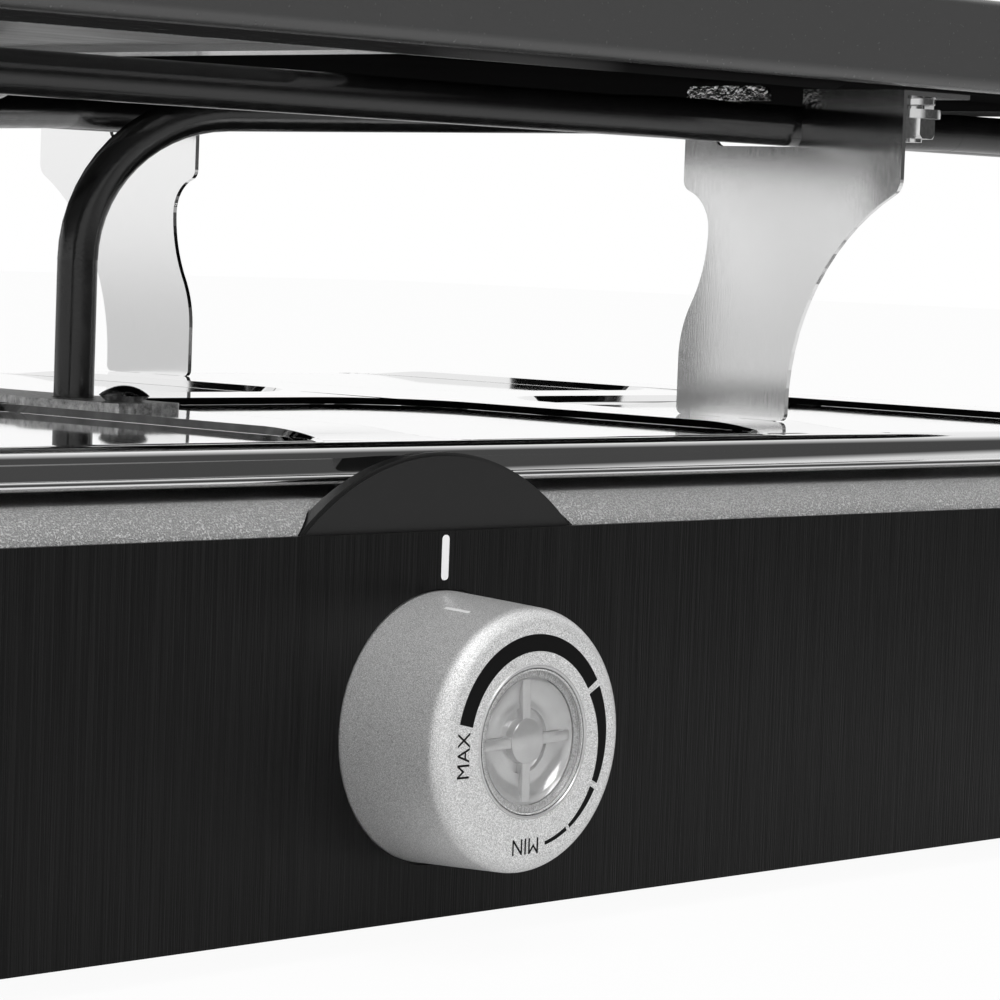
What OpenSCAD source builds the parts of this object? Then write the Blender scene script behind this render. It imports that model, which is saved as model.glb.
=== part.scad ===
// Eight-place raclette grill: an electric base, a mirror-finished drip tray with pressed pan bays,
// one bent tubular element, four stainless brackets, and a carrier with a stone and a ribbed plate.
// +X runs along the long front, +Y to the back, +Z up. The origin is at the middle of the whole
// object's plan, on the table.

/* [Base] */
// Length of the base housing
base_l = 438; // [400:1:480]
// Depth of the base housing, without the front panel
base_d = 225.6; // [215:0.2:240]
// Radius of the housing's corners in plan
base_r = 12; // [10:0.5:16]
// Wall of the moulded housing
base_wall = 2.5; // [2:0.1:3]
// Height of the front panel
panel_h = 57.7; // [54:0.1:64]
// Length of the front panel
panel_l = 412; // [380:1:414]
// Thickness of the front panel
panel_t = 1; // [0.8:0.1:1.2]
// Rise of the housing's rounded shoulder above the panel's top edge
shoulder_rise = 4.6; // [3:0.1:5.5]
// Radius of the rounded shoulder
shoulder_r = 6.3; // [6:0.1:8]
// Width of the housing's top deck, inside the tray's standoffs
deck_lip = 5; // [4:0.5:6]
// Thickness of the bottom cover
cover_t = 1.2; // [1:0.1:2]
// Height of the rubber feet
foot_h = 4; // [3:0.5:6]
// Diameter of the rubber feet
foot_d = 20; // [16:1:24]

/* [Knob] */
// Height of the knob's axis above the panel's lower edge
knob_z = 28.6; // [26:0.1:31]
// Length of the knob, from its foot to its face
knob_len = 19.9; // [17:0.1:24]
// Radius of the knob at its foot
knob_r = 20.25; // [18:0.05:21]
// Radius of the knob at its face
knob_face_r = 19.4; // [17:0.1:20]
// Rounding of the knob's front edge
knob_round = 2.6; // [1.5:0.1:3]
// Wall of the knob
knob_wall = 1.8; // [1.4:0.1:2.2]
// Radius of the round window in the knob's face
window_r = 10.4; // [9:0.1:11.5]
// Diameter of the thermostat's shaft
shaft_d = 6; // [5:0.1:7]
// Radius of the arched plate behind the panel
dial_r = 40.6; // [38:0.1:43]
// Thickness of the arched plate
dial_t = 2.5; // [2:0.1:3]

/* [Tray] */
// Length of the drip tray
tray_l = 426; // [410:1:430]
// Depth of the drip tray
tray_d = 212.4; // [206:0.2:216]
// Height of the tray's down-turned edge
tray_h = 6; // [5:0.1:8]
// Radius of the tray's corners in plan
tray_r = 26; // [20:0.5:32]
// Gap between the housing and the tray's edge
tray_gap = 2; // [1:0.1:4]
// Thickness of the tray's sheet
tray_t = 0.8; // [0.6:0.1:1]
// Rounding of the tray's top edge
tray_round = 2.2; // [1.6:0.1:3]
// Rise of the lands above the pan bays
land_rise = 1.2; // [0.8:0.1:1.6]
// Corner radius of the pan bays
bay_r = 20; // [12:0.5:26]
// Width of the land that carries a bracket
land_w = 20; // [18:0.2:24]
// Width of the land under the element's clamp
centre_w = 19; // [18:0.2:22]
// Width of the land along the tray's middle
middle_w = 18; // [14:0.2:22]
// Width of the land at each end, measured from the tray's edge
end_land_w = 20; // [14:0.5:26]

/* [Brackets] */
// Distance of the brackets from the middle, along X
bracket_x = 107; // [100:0.5:112]
// Height from the tray's land to the carrier rail
bracket_h = 56.6; // [53:0.1:62]
// Thickness of the bracket's sheet
bracket_t = 0.9; // [0.8:0.1:1.2]
// Width of the bracket's ear, inside the slot that holds the element
ear_w = 6.9; // [6:0.1:8]
// Width of the bracket's arm, outside the slot that holds the element
arm_w = 21.7; // [20:0.1:22]
// Width of the bracket's foot
foot_w = 24.6; // [22:0.1:27]

/* [Element] */
// Diameter of the element's tube
tube_d = 6.6; // [6:0.1:6.8]
// Distance of the legs from the tray's middle line
leg_y = 28; // [26:0.5:30]
// Half length of the long runs
run_end_x = 190; // [180:1:196]
// Distance of the outer runs from the tray's middle line
run_y = 86.2; // [86:0.1:86.6]
// Spacing of the paired runs
run_pitch = 11; // [10:0.1:11.2]

/* [Carrier] */
// Height of the carrier rail's lip
rail_lip_h = 2.3; // [2:0.1:3]
// Thickness of the carrier rail
rail_t = 1.2; // [1:0.1:1.4]
// Width of the rail's flat leg
rail_leg_w = 18; // [16:0.5:18.5]
// Height of the plate surround
surround_h = 14.7; // [13:0.1:20]
// Wall of the plate surround
surround_t = 2.6; // [2.4:0.1:3]
// Thickness of the stone plate
stone_t = 12; // [10:0.5:14]
// Thickness of the ribbed plate under its ribs
grill_t = 6; // [5:0.5:8]
// Height of the ribs
rib_h = 3; // [2:0.2:4]
// Number of ribs
rib_count = 14; // [10:1:16]

/* [Hidden] */
$fn = 96;
fine_fn = 32;
overrun = 0.5;
fit_gap = 0.3;
running_gap = 0.05;

// Heights, from the table up
z_base = foot_h;
z_panel = z_base + panel_h;
z_deck = z_panel + shoulder_rise;
z_edge = z_deck + tray_gap;
z_tray = z_edge + tray_h;
z_floor_under = z_tray - tray_t;
z_land = z_tray + land_rise;
z_land_under = z_land - tray_t;
z_rail = z_land + bracket_h;
z_seat = z_rail + rail_t;
z_knob = z_base + knob_z;
z_deck_under = z_deck - base_wall;

// Plan, from the middle of the tray
base_hx = base_l / 2;
base_hy = base_d / 2;
tray_hx = tray_l / 2;
tray_hy = tray_d / 2;
panel_back = base_hy;
panel_front = base_hy + panel_t;
knob_foot = panel_back + fit_gap;
knob_face = knob_foot + knob_len;

// The element's paired runs lie in the brackets' slots
slot_room = 0.85;
inner_y = run_y - run_pitch;
slot_in = inner_y - tube_d / 2 - slot_room;
slot_out = run_y + tube_d / 2 + slot_room;
slot_h = tube_d + 4 * fit_gap;
slot_cover = 1.95;
slot_low = z_rail - slot_cover - slot_h;
bracket_in = slot_in - ear_w;
bracket_out = slot_out + arm_w;

// The carrier follows the brackets across, and the tray along
carrier_reach = 5;
surround_r = 20;
rail_hy = bracket_out + fit_gap + rail_t;
surround_hx = tray_hx + carrier_reach;
surround_hy = rail_hy + fit_gap + surround_t;
rail_hx = surround_hx - surround_r;

// The tray's bays, between its raised lands: from the middle out, on one side
land_shift = 5;
land_edge = 4;
bay_over = 3;
land_mid = bracket_x - land_shift;
bay_inner_y = middle_w / 2;
bay_length = tray_hy + bay_over - bay_inner_y;
bay_spans = [
  [centre_w / 2, land_mid - land_w / 2],
  [land_mid + land_w / 2, tray_hx - end_land_w]
];

// The deck carries the tray's standoffs
hem_r = 0.8;
flat_inset = 0.5 * hem_r + tray_round;
standoff_inset = 26;
standoff_r = 3.4;
standoff_y = tray_hy - standoff_inset;
opening_hx = tray_hx - standoff_inset;
opening_hy = standoff_y - standoff_r - deck_lip;

// Cord outlet in the back wall
gland_x = 150;
gland_z = 24;
gland_r = 8;
gland_flange_t = 3;
gland_nose = 6;
gland_bore_r = 3.7;
back_reach = base_hy + gland_flange_t + gland_nose;
shift_y = (knob_face - back_reach) / 2;

function arc(c, r, a0, a1, n = 10) =
  [for (i = [0:n]) let (a = a0 + (a1 - a0) * i / n) c + r * [cos(a), sin(a)]];

module rounded_square(hx, hy, r) {
  square([2 * hx - 2 * r, 2 * hy], center = true);
  square([2 * hx, 2 * hy - 2 * r], center = true);
  for (sx = [-1, 1], sy = [-1, 1]) translate([sx * (hx - r), sy * (hy - r)]) circle(r);
}

module rounded_plate(hx, hy, r, z0, z1) {
  translate([0, 0, z0]) linear_extrude(z1 - z0) rounded_square(hx, hy, r);
}

// Sweeps a profile round a rounded rectangle. The profile's x is measured out from the centre of
// the corner arc, so x = r lies on the rectangle, and its y is the height.
module swept_rim(hx, hy, r) {
  cx = hx - r;
  cy = hy - r;
  translate([cx, cy, 0]) rotate_extrude(angle = 90) children();
  translate([-cx, cy, 0]) rotate([0, 0, 90]) rotate_extrude(angle = 90) children();
  translate([-cx, -cy, 0]) rotate([0, 0, 180]) rotate_extrude(angle = 90) children();
  translate([cx, -cy, 0]) rotate([0, 0, 270]) rotate_extrude(angle = 90) children();
  translate([-cx, cy, 0]) rotate([90, 0, 90]) linear_extrude(2 * cx) children();
  translate([cx, -cy, 0]) rotate([90, 0, -90]) linear_extrude(2 * cx) children();
  translate([cx, cy, 0]) rotate([90, 0, 0]) linear_extrude(2 * cy) children();
  translate([-cx, -cy, 0]) rotate([90, 0, 180]) linear_extrude(2 * cy) children();
}

// A rounded slab whose top and bottom edges are bevelled
module bevelled_slab(hx, hy, r, z0, z1, bevel) {
  swept_rim(hx, hy, r)
    polygon([[0, z0], [r - bevel, z0], [r, z0 + bevel], [r, z1 - bevel], [r - bevel, z1], [0, z1]]);
  translate([0, 0, (z0 + z1) / 2]) cube([2 * (hx - r), 2 * (hy - r), z1 - z0], center = true);
}

// Lays a part that is drawn upright, its foot at z = 0, on the knob's axis with its foot at y = -back
module on_knob_axis(back) {
  translate([0, -back, z_knob]) rotate([90, 0, 0]) children();
}

// Everything is drawn from the tray's middle and then moved to the origin
module placed() {
  translate([0, shift_y, 0]) children();
}

// Base housing

post_d = 9;
post_bore_r = 1.4;
post_depth = 12;
post_x = base_hx - base_wall - post_d - 3 * fit_gap;
post_y = 60;
back_post_x = 70;
back_post_y = base_hy - base_wall - post_d;
post_places = [
  [post_x, post_y], [post_x, -post_y], [-post_x, post_y], [-post_x, -post_y],
  [back_post_x, back_post_y], [-back_post_x, back_post_y]
];
standoff_places = [
  for (span = bay_spans, sx = [-1, 1], sy = [-1, 1]) [sx * (span[0] + span[1]) / 2, sy * standoff_y]
];
tray_screw_r = 0.58 * standoff_r;

module housing_profile() {
  z_arc = z_deck - shoulder_r;
  translate([base_r - base_wall, z_base]) square([base_wall, z_arc - z_base]);
  intersection() {
    translate([base_r - shoulder_r, z_arc]) difference() {
      circle(shoulder_r);
      circle(shoulder_r - base_wall);
    }
    translate([base_r - shoulder_r, z_arc]) square(shoulder_r);
  }
}

module dial_outline(gap) {
  low = z_base + foot_h;
  difference() {
    circle(dial_r + gap);
    translate([-2 * dial_r, -3 * dial_r - (z_knob - low) - gap]) square([4 * dial_r, 3 * dial_r]);
  }
}

module base_housing() {
  color([0.62, 0.62, 0.62]) placed() difference() {
    union() {
      swept_rim(base_hx, base_hy, base_r) housing_profile();
      difference() {
        rounded_plate(base_hx - shoulder_r, base_hy - shoulder_r, base_r - shoulder_r, z_deck_under,
                      z_deck);
        rounded_plate(opening_hx, opening_hy, base_r - base_wall, z_deck_under - overrun,
                      z_deck + overrun);
      }
      for (p = post_places)
        translate([p[0], p[1], z_base + cover_t]) cylinder(d = post_d, h = z_deck - z_base - cover_t - overrun);
    }
    for (p = post_places)
      translate([p[0], p[1], z_base]) cylinder(r = post_bore_r, h = cover_t + post_depth, $fn = fine_fn);
    for (p = standoff_places)
      translate([p[0], p[1], z_deck_under - overrun])
        cylinder(r = tray_screw_r + fit_gap, h = base_wall + 2 * overrun, $fn = fine_fn);
    on_knob_axis(base_hy - dial_t - fit_gap)
      linear_extrude(dial_t + fit_gap + overrun) dial_outline(fit_gap);
    translate([gland_x, base_hy + overrun, gland_z]) rotate([90, 0, 0])
      cylinder(r = gland_r - 2 * fit_gap, h = base_wall + 2 * overrun);
  }
}

module front_panel() {
  color([0.12, 0.12, 0.12]) placed() difference() {
    translate([-panel_l / 2, -panel_front, z_base]) cube([panel_l, panel_t, panel_h]);
    on_knob_axis(panel_back - overrun) cylinder(r = knob_r + fit_gap, h = panel_t + 2 * overrun);
  }
}

// The arched plate stands behind the panel and carries the thermostat

bush_wall = 2;
bush_r = shaft_d / 2 + bush_wall;
lamp_r = 2.5;
lamp_off = 10.5;
stat_screw_x = 13.5;
stat_screw_r = 1.5;
dial_bevel = 0.5;

module dial_backplate() {
  color([0.2, 0.2, 0.2]) placed() difference() {
    union() {
      on_knob_axis(panel_back - dial_t) linear_extrude(dial_t - dial_bevel) dial_outline(0);
      on_knob_axis(panel_back - dial_bevel) linear_extrude(dial_bevel) dial_outline(-dial_bevel);
    }
    on_knob_axis(panel_back - dial_t - overrun) cylinder(r = bush_r + fit_gap, h = dial_t + 2 * overrun);
    for (s = [-1, 1]) on_knob_axis(panel_back - dial_t - overrun) translate([s * stat_screw_x, 0, 0])
      cylinder(r = stat_screw_r + fit_gap, h = dial_t + 2 * overrun, $fn = fine_fn);
    on_knob_axis(panel_back - dial_t - overrun) translate([0, lamp_off, 0])
      cylinder(r = lamp_r + fit_gap, h = dial_t + 2 * overrun, $fn = fine_fn);
  }
}

// Bottom cover, its screws and feet

foot_inset = 30;
foot_x = base_hx - foot_inset;
foot_y = base_hy - foot_inset;
foot_places = [[foot_x, foot_y], [-foot_x, foot_y], [foot_x, -foot_y], [-foot_x, -foot_y]];
foot_plug_r = 3;
vent_l = 40;
vent_w = 4;
vent_pitch = 14;
vent_rows = 5;
vent_x = 80;

module vent_slot() {
  rounded_square(vent_l / 2, vent_w / 2, vent_w / 2 - 0.1 * vent_w);
}

module bottom_cover() {
  edge = base_wall + fit_gap;
  color([0.35, 0.35, 0.36]) placed() difference() {
    rounded_plate(base_hx - edge, base_hy - edge, base_r - edge, z_base, z_base + cover_t);
    for (p = post_places) translate([p[0], p[1], z_base - overrun])
      cylinder(r = post_bore_r + 2 * fit_gap, h = cover_t + 2 * overrun, $fn = fine_fn);
    for (p = foot_places) translate([p[0], p[1], z_base - overrun])
      cylinder(r = foot_plug_r + running_gap, h = cover_t + 2 * overrun, $fn = fine_fn);
    for (s = [-1, 1], i = [0:vent_rows - 1])
      translate([s * vent_x, (i - (vent_rows - 1) / 2) * vent_pitch, z_base - overrun])
        linear_extrude(cover_t + 2 * overrun) vent_slot();
  }
}

module pan_screw(shank_r, shank_l, head_r, head_h) {
  rotate_extrude() {
    square([shank_r, shank_l]);
    translate([0, -head_h / 2]) square([head_r, head_h / 2]);
    intersection() {
      translate([0, -head_h]) square([head_r, head_h]);
      translate([0, head_r * 0.9]) circle(head_h + head_r * 0.9);
    }
  }
}

cover_head_r = 3.2;
cover_head_h = 1.8;

module cover_screws() {
  color([0.5, 0.5, 0.52]) placed() for (p = post_places)
    translate([p[0], p[1], z_base])
      pan_screw(post_bore_r - running_gap, post_depth - cover_t, cover_head_r, cover_head_h);
}

module rubber_feet() {
  rounding = foot_h / 4;
  color([0.08, 0.08, 0.08]) placed() for (p = foot_places) translate([p[0], p[1], 0]) {
    rotate_extrude() {
      square([foot_d / 2 - rounding, foot_h]);
      translate([0, rounding]) square([foot_d / 2, foot_h - rounding]);
      translate([foot_d / 2 - rounding, rounding]) circle(rounding, $fn = fine_fn);
    }
    cylinder(r = foot_plug_r, h = foot_h + cover_t + foot_h / 2, $fn = fine_fn);
  }
}

// Inside the base

shield_t = 0.8;
shield_lap = 3;
leg_hole_r = tube_d / 2 + fit_gap;

module leg_holes(z0, z1, r) {
  for (s = [-1, 1]) translate([0, s * leg_y, z0 - overrun])
    cylinder(r = r, h = z1 - z0 + 2 * overrun, $fn = fine_fn);
}

module heat_shield() {
  z0 = z_deck_under - shield_t;
  color([0.7, 0.7, 0.72]) placed() difference() {
    rounded_plate(opening_hx + shield_lap, opening_hy + shield_lap, base_r - base_wall, z0,
                  z_deck_under);
    leg_holes(z0, z_deck_under, leg_hole_r + fit_gap);
  }
}

module cord_gland() {
  color([0.1, 0.1, 0.1]) placed() translate([gland_x, base_hy, gland_z]) rotate([-90, 0, 0])
    rotate_extrude() difference() {
      union() {
        square([gland_r + gland_flange_t, gland_flange_t]);
        polygon([
          [0, gland_flange_t], [gland_r, gland_flange_t],
          [gland_r * 0.7, gland_flange_t + gland_nose], [0, gland_flange_t + gland_nose]
        ]);
        translate([0, -base_wall - 2 * gland_flange_t])
          square([gland_r - 3 * fit_gap, base_wall + 2 * gland_flange_t]);
      }
      translate([-overrun, -base_wall - 3 * gland_flange_t])
        square([gland_bore_r + overrun, base_wall + gland_nose + 5 * gland_flange_t]);
    }
}

module gland_nut() {
  color([0.15, 0.15, 0.15]) placed() translate([gland_x, base_hy - base_wall, gland_z]) rotate([90, 0, 0])
    difference() {
      cylinder(r = gland_r + gland_flange_t, h = gland_flange_t, $fn = 6);
      translate([0, 0, -overrun])
        cylinder(r = gland_r - 3 * fit_gap + running_gap, h = gland_flange_t + 2 * overrun);
    }
}

block_l = 40;
block_w = 16;
block_h = 14;
block_ways = 3;
block_inset = 42;
block_y = base_hy - block_inset;

module terminal_block() {
  pitch = block_l / block_ways;
  color([0.9, 0.9, 0.88]) placed() translate([gland_x, block_y, z_base + cover_t]) difference() {
    union() {
      translate([-block_l / 2, -block_w / 2, 0]) cube([block_l, block_w, block_h / 2]);
      for (i = [0:block_ways - 1]) translate([-block_l / 2 + (i + 0.1) * pitch, -block_w / 2, 0])
        cube([0.8 * pitch, block_w, block_h]);
    }
    for (i = [0:block_ways - 1]) translate([-block_l / 2 + (i + 0.5) * pitch, 0, block_h / 2]) {
      rotate([90, 0, 0]) cylinder(r = pitch / 6, h = block_w + 2 * overrun, center = true, $fn = fine_fn);
      cylinder(r = pitch / 5, h = block_h, $fn = fine_fn);
    }
  }
}

// Drip tray with its pressed bays

// A bay runs out at the tray's long edge, so that a pan slides in
module bay_outline(grow, span) {
  hx = (span[1] - span[0]) / 2;
  translate([(span[0] + span[1]) / 2, bay_inner_y + bay_length / 2])
    rounded_square(hx + grow, bay_length / 2 + grow, bay_r + grow);
}

module lands(inset) {
  edge = land_edge + inset;
  difference() {
    rounded_square(tray_hx - edge, tray_hy - edge, tray_r - edge);
    each_bay() for (span = bay_spans) bay_outline(inset, span);
  }
}

module each_bay() {
  for (sx = [0, 1], sy = [0, 1]) mirror([sx, 0, 0]) mirror([0, sy, 0]) children();
}

module tray_profile() {
  in = 0.5 * hem_r;
  face = tray_r - in;
  translate([face - tray_t, z_edge + hem_r]) square([tray_t, tray_h - hem_r - tray_round]);
  translate([tray_r - hem_r, z_edge + hem_r]) circle(hem_r, $fn = fine_fn);
  intersection() {
    translate([face - tray_round, z_tray - tray_round]) difference() {
      circle(tray_round);
      circle(tray_round - tray_t);
    }
    translate([face - tray_round, z_tray - tray_round]) square(tray_round);
  }
}

tab_w = 7;
tab_gap = 5;
tab_turn = 3;
foot_in = bracket_in + fit_gap;

module bracket_slots() {
  for (s = [-1, 1]) translate([-bracket_t / 2 - fit_gap, foot_in + foot_w / 2 + s * (tab_gap + tab_w) / 2
      - tab_w / 2 - fit_gap, z_land_under - overrun])
    cube([bracket_t + 2 * fit_gap, tab_w + 2 * fit_gap, tray_t + 2 * overrun]);
}

module drip_tray() {
  in = flat_inset;
  color([0.85, 0.85, 0.86]) placed() difference() {
    union() {
      swept_rim(tray_hx, tray_hy, tray_r) tray_profile();
      rounded_plate(tray_hx - in, tray_hy - in, tray_r - in, z_floor_under, z_tray);
      translate([0, 0, z_floor_under]) linear_extrude(z_land - z_floor_under) lands(0);
    }
    translate([0, 0, z_floor_under - overrun]) linear_extrude(land_rise + overrun) lands(tray_t);
    leg_holes(z_land_under, z_land, leg_hole_r);
    clamp_screw_holes(z_land_under, z_land, clamp_screw_r + fit_gap);
    each_bay() translate([bracket_x, 0, 0]) bracket_slots();
  }
}

standoff_h = z_floor_under - z_deck;
standoff_bore = 4.2;

module tray_standoffs() {
  color([0.75, 0.75, 0.72]) placed() for (p = standoff_places) translate([p[0], p[1], z_deck]) difference() {
    cylinder(r = standoff_r, h = standoff_h, $fn = 6);
    translate([0, 0, -overrun]) cylinder(r = tray_screw_r, h = standoff_bore + overrun, $fn = fine_fn);
  }
}

module tray_screws() {
  color([0.5, 0.5, 0.52]) placed() for (p = standoff_places) translate([p[0], p[1], z_deck_under])
    pan_screw(tray_screw_r - running_gap, base_wall + standoff_bore - 2 * fit_gap, 1.8 * tray_screw_r,
              1.2 * tray_screw_r);
}

// Element clamp: a flat strip on the tray's centre land, screwed to a bar underneath

clamp_hw = 7;
leg_to_screw = 12.6;
screw_to_end = 5.9;
clamp_t = 1.3;
clamp_boss_r = centre_w / 2 - fit_gap;
clamp_screw_y = leg_y + leg_to_screw;
clamp_hl = clamp_screw_y + screw_to_end;
clamp_screw_r = 2;
clamp_head_r = 4.1;
clamp_head_h = 2.6;
bar_t = 2.5;
bar_hw = centre_w / 2 - tray_t - 2 * fit_gap;
z_clamp_top = z_land + clamp_t;

module clamp_outline() {
  rounded_square(clamp_hw, clamp_hl, clamp_hw / 7);
  for (s = [-1, 1]) translate([0, s * leg_y]) circle(clamp_boss_r);
}

module clamp_screw_holes(z0, z1, r) {
  for (s = [-1, 1]) translate([0, s * clamp_screw_y, z0 - overrun])
    cylinder(r = r, h = z1 - z0 + 2 * overrun, $fn = fine_fn);
}

module element_clamp() {
  color([0.62, 0.63, 0.63]) placed() difference() {
    translate([0, 0, z_land]) linear_extrude(clamp_t) clamp_outline();
    leg_holes(z_land, z_clamp_top, leg_hole_r);
    clamp_screw_holes(z_land, z_clamp_top, clamp_screw_r + fit_gap);
  }
}

module clamp_backing_bar() {
  color([0.6, 0.6, 0.6]) placed() difference() {
    rounded_plate(bar_hw, clamp_hl, bar_hw / 5, z_land_under - bar_t, z_land_under);
    leg_holes(z_land_under - bar_t, z_land_under, leg_hole_r);
    clamp_screw_holes(z_land_under - bar_t, z_land_under, clamp_screw_r);
  }
}

// A screw whose head is a lens: its brim slopes in to the seat
module lens_screw(shank_r, shank_l, head_r, head_h) {
  brim = 0.38 * head_h;
  dome_h = head_h - brim;
  dome_r = (head_r * head_r + dome_h * dome_h) / (2 * dome_h);
  rotate_extrude() {
    square([shank_r, shank_l]);
    polygon([[0, 0], [0.72 * head_r, 0], [head_r, -brim], [0, -brim]]);
    intersection() {
      translate([0, -head_h]) square([head_r, dome_h]);
      translate([0, dome_r - head_h]) circle(dome_r);
    }
  }
}

module clamp_screws() {
  color([0.3, 0.3, 0.32]) placed() for (s = [-1, 1]) translate([0, s * clamp_screw_y, z_clamp_top])
    rotate([180, 0, 0])
      lens_screw(clamp_screw_r - running_gap, z_clamp_top - z_land_under + bar_t + fit_gap, clamp_head_r,
                 clamp_head_h);
}

// Heating element: one tube, bent round a list of corners

z_run = slot_low + fit_gap / 3 + tube_d / 2;
run_rise = 1;
z_in = z_run + run_rise;
leg_len = 78;
leg_drop = 3.6;
leg_low = z_run - leg_len;
leg_bend_r = 25;
diag_lead = 22;
diag_x = bracket_x - diag_lead;
diag_bend_r = 24;
turn_flat = 0.6;
turn_r = (run_pitch - turn_flat) / 2;
rise_lead = 4;
rise_length = 44;
rise_x0 = bracket_x + rise_lead;
rise_x1 = rise_x0 + rise_length;
rise_bend_r = 200;
back_turn = 11;
back_end_x = bracket_x + back_turn;
waist_x = 27;
waist_y = leg_y + (inner_y - leg_y) * waist_x / diag_x;
waist_r = 16;

// The front outer run lies a little lower between the brackets, and the back right loop is short
element_points = [
  [0, -leg_y, leg_low], [0, -leg_y, z_in - leg_drop], [diag_x, -inner_y, z_in],
  [run_end_x, -inner_y, z_in], [run_end_x, -run_y, z_in], [rise_x1, -run_y, z_in],
  [rise_x0, -run_y, z_run], [-rise_x0, -run_y, z_run], [-rise_x1, -run_y, z_in],
  [-run_end_x, -run_y, z_in], [-run_end_x, -inner_y, z_in], [-diag_x, -inner_y, z_in],
  [-waist_x, -waist_y, z_in], [-waist_x, waist_y, z_in], [-diag_x, inner_y, z_in],
  [-run_end_x, inner_y, z_in], [-run_end_x, run_y, z_in], [back_end_x, run_y, z_in],
  [back_end_x, inner_y, z_in], [diag_x, inner_y, z_in], [0, leg_y, z_in - leg_drop],
  [0, leg_y, leg_low]
];
element_bends = [
  0, leg_bend_r, diag_bend_r, turn_r, turn_r, rise_bend_r, rise_bend_r, rise_bend_r, rise_bend_r,
  turn_r, turn_r, diag_bend_r, waist_r, waist_r, diag_bend_r, turn_r, turn_r, turn_r, turn_r,
  diag_bend_r, leg_bend_r, 0
];

function unit(v) = v / norm(v);
function turn_angle(a, b, c) = let (u = unit(b - a), v = unit(c - b)) acos(max(-1, min(1, u * v)));
function set_back(p, r, i) = r[i] == 0 ? 0 : r[i] * tan(turn_angle(p[i - 1], p[i], p[i + 1]) / 2);

// The straights reach a little into the bends and are a hair thinner, as drawn tube is beside a bend
straight_thinning = 0.04;
straight_reach = 0.25;

module rod(a, b, d) {
  v = b - a;
  l = norm(v);
  translate(a) rotate([0, acos(v[2] / l), atan2(v[1], v[0])]) cylinder(d = d, h = l, $fn = fine_fn);
}

module bend(a, b, c, r, d) {
  u = unit(b - a);
  v = unit(c - b);
  angle = turn_angle(a, b, c);
  n = unit(cross(u, v));
  start = b - u * r * tan(angle / 2);
  middle = b + unit(v - u) * r / cos(angle / 2);
  w = unit(start - middle);
  multmatrix([
    [w[0], u[0], n[0], middle[0]], [w[1], u[1], n[1], middle[1]], [w[2], u[2], n[2], middle[2]],
    [0, 0, 0, 1]
  ]) rotate_extrude(angle = angle) translate([r, 0]) circle(d = d, $fn = fine_fn);
}

module bent_tube(p, r, d) {
  for (i = [0:len(p) - 2]) {
    u = unit(p[i + 1] - p[i]);
    from = p[i] + u * (r[i] == 0 ? 0 : set_back(p, r, i) - straight_reach);
    to = p[i + 1] - u * (r[i + 1] == 0 ? 0 : set_back(p, r, i + 1) - straight_reach);
    rod(from, to, d - straight_thinning);
  }
  for (i = [1:len(p) - 2]) bend(p[i - 1], p[i], p[i + 1], r[i], d);
}

module heating_element() {
  color([0.13, 0.13, 0.13]) placed() bent_tube(element_points, element_bends, tube_d);
}

pin_r = 1.5;
pin_l = 10;
bead_r = 4.5;
bead_l = 4;

module cold_pins() {
  color([0.7, 0.7, 0.68]) placed() for (s = [-1, 1]) translate([0, s * leg_y, leg_low - pin_l])
    cylinder(r = pin_r, h = pin_l, $fn = fine_fn);
}

module ceramic_beads() {
  color([0.92, 0.9, 0.86]) placed() for (s = [-1, 1]) translate([0, s * leg_y, leg_low - bead_l])
    difference() {
      cylinder(r = bead_r, h = bead_l, $fn = fine_fn);
      translate([0, 0, -overrun]) cylinder(r = pin_r + running_gap, h = bead_l + 2 * overrun, $fn = fine_fn);
    }
}

// Plate bracket: its outline is drawn with x out from the tray's middle line and y up from the table

slot_top = slot_low + slot_h;
neck_w = 7.8;
slot_corner = 1.5;
ear_rise = 0.6;
ear_top = z_rail + ear_rise;
ear_corner = 1.5;
bite_share = 0.571;
bite_z = z_land + bite_share * bracket_h;
bite_corner = 2;
bite_small_r = 7;
bite_big_r = 27;
bite_depth = 6.1;
waist_round = 20;
flare_share = 0.7385;
flare_r = flare_share * bracket_h;
flare_rise = 2.5;
flare_z = z_land + flare_rise;
flare_corner = 3;
foot_corner = 1.2;
flange_w = 18;
flange_d = 11;
bolt_x = 8.5;
bolt_r = 2;
bolt_in = 5.3;
bolt_y = bracket_out - bolt_in;

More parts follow.
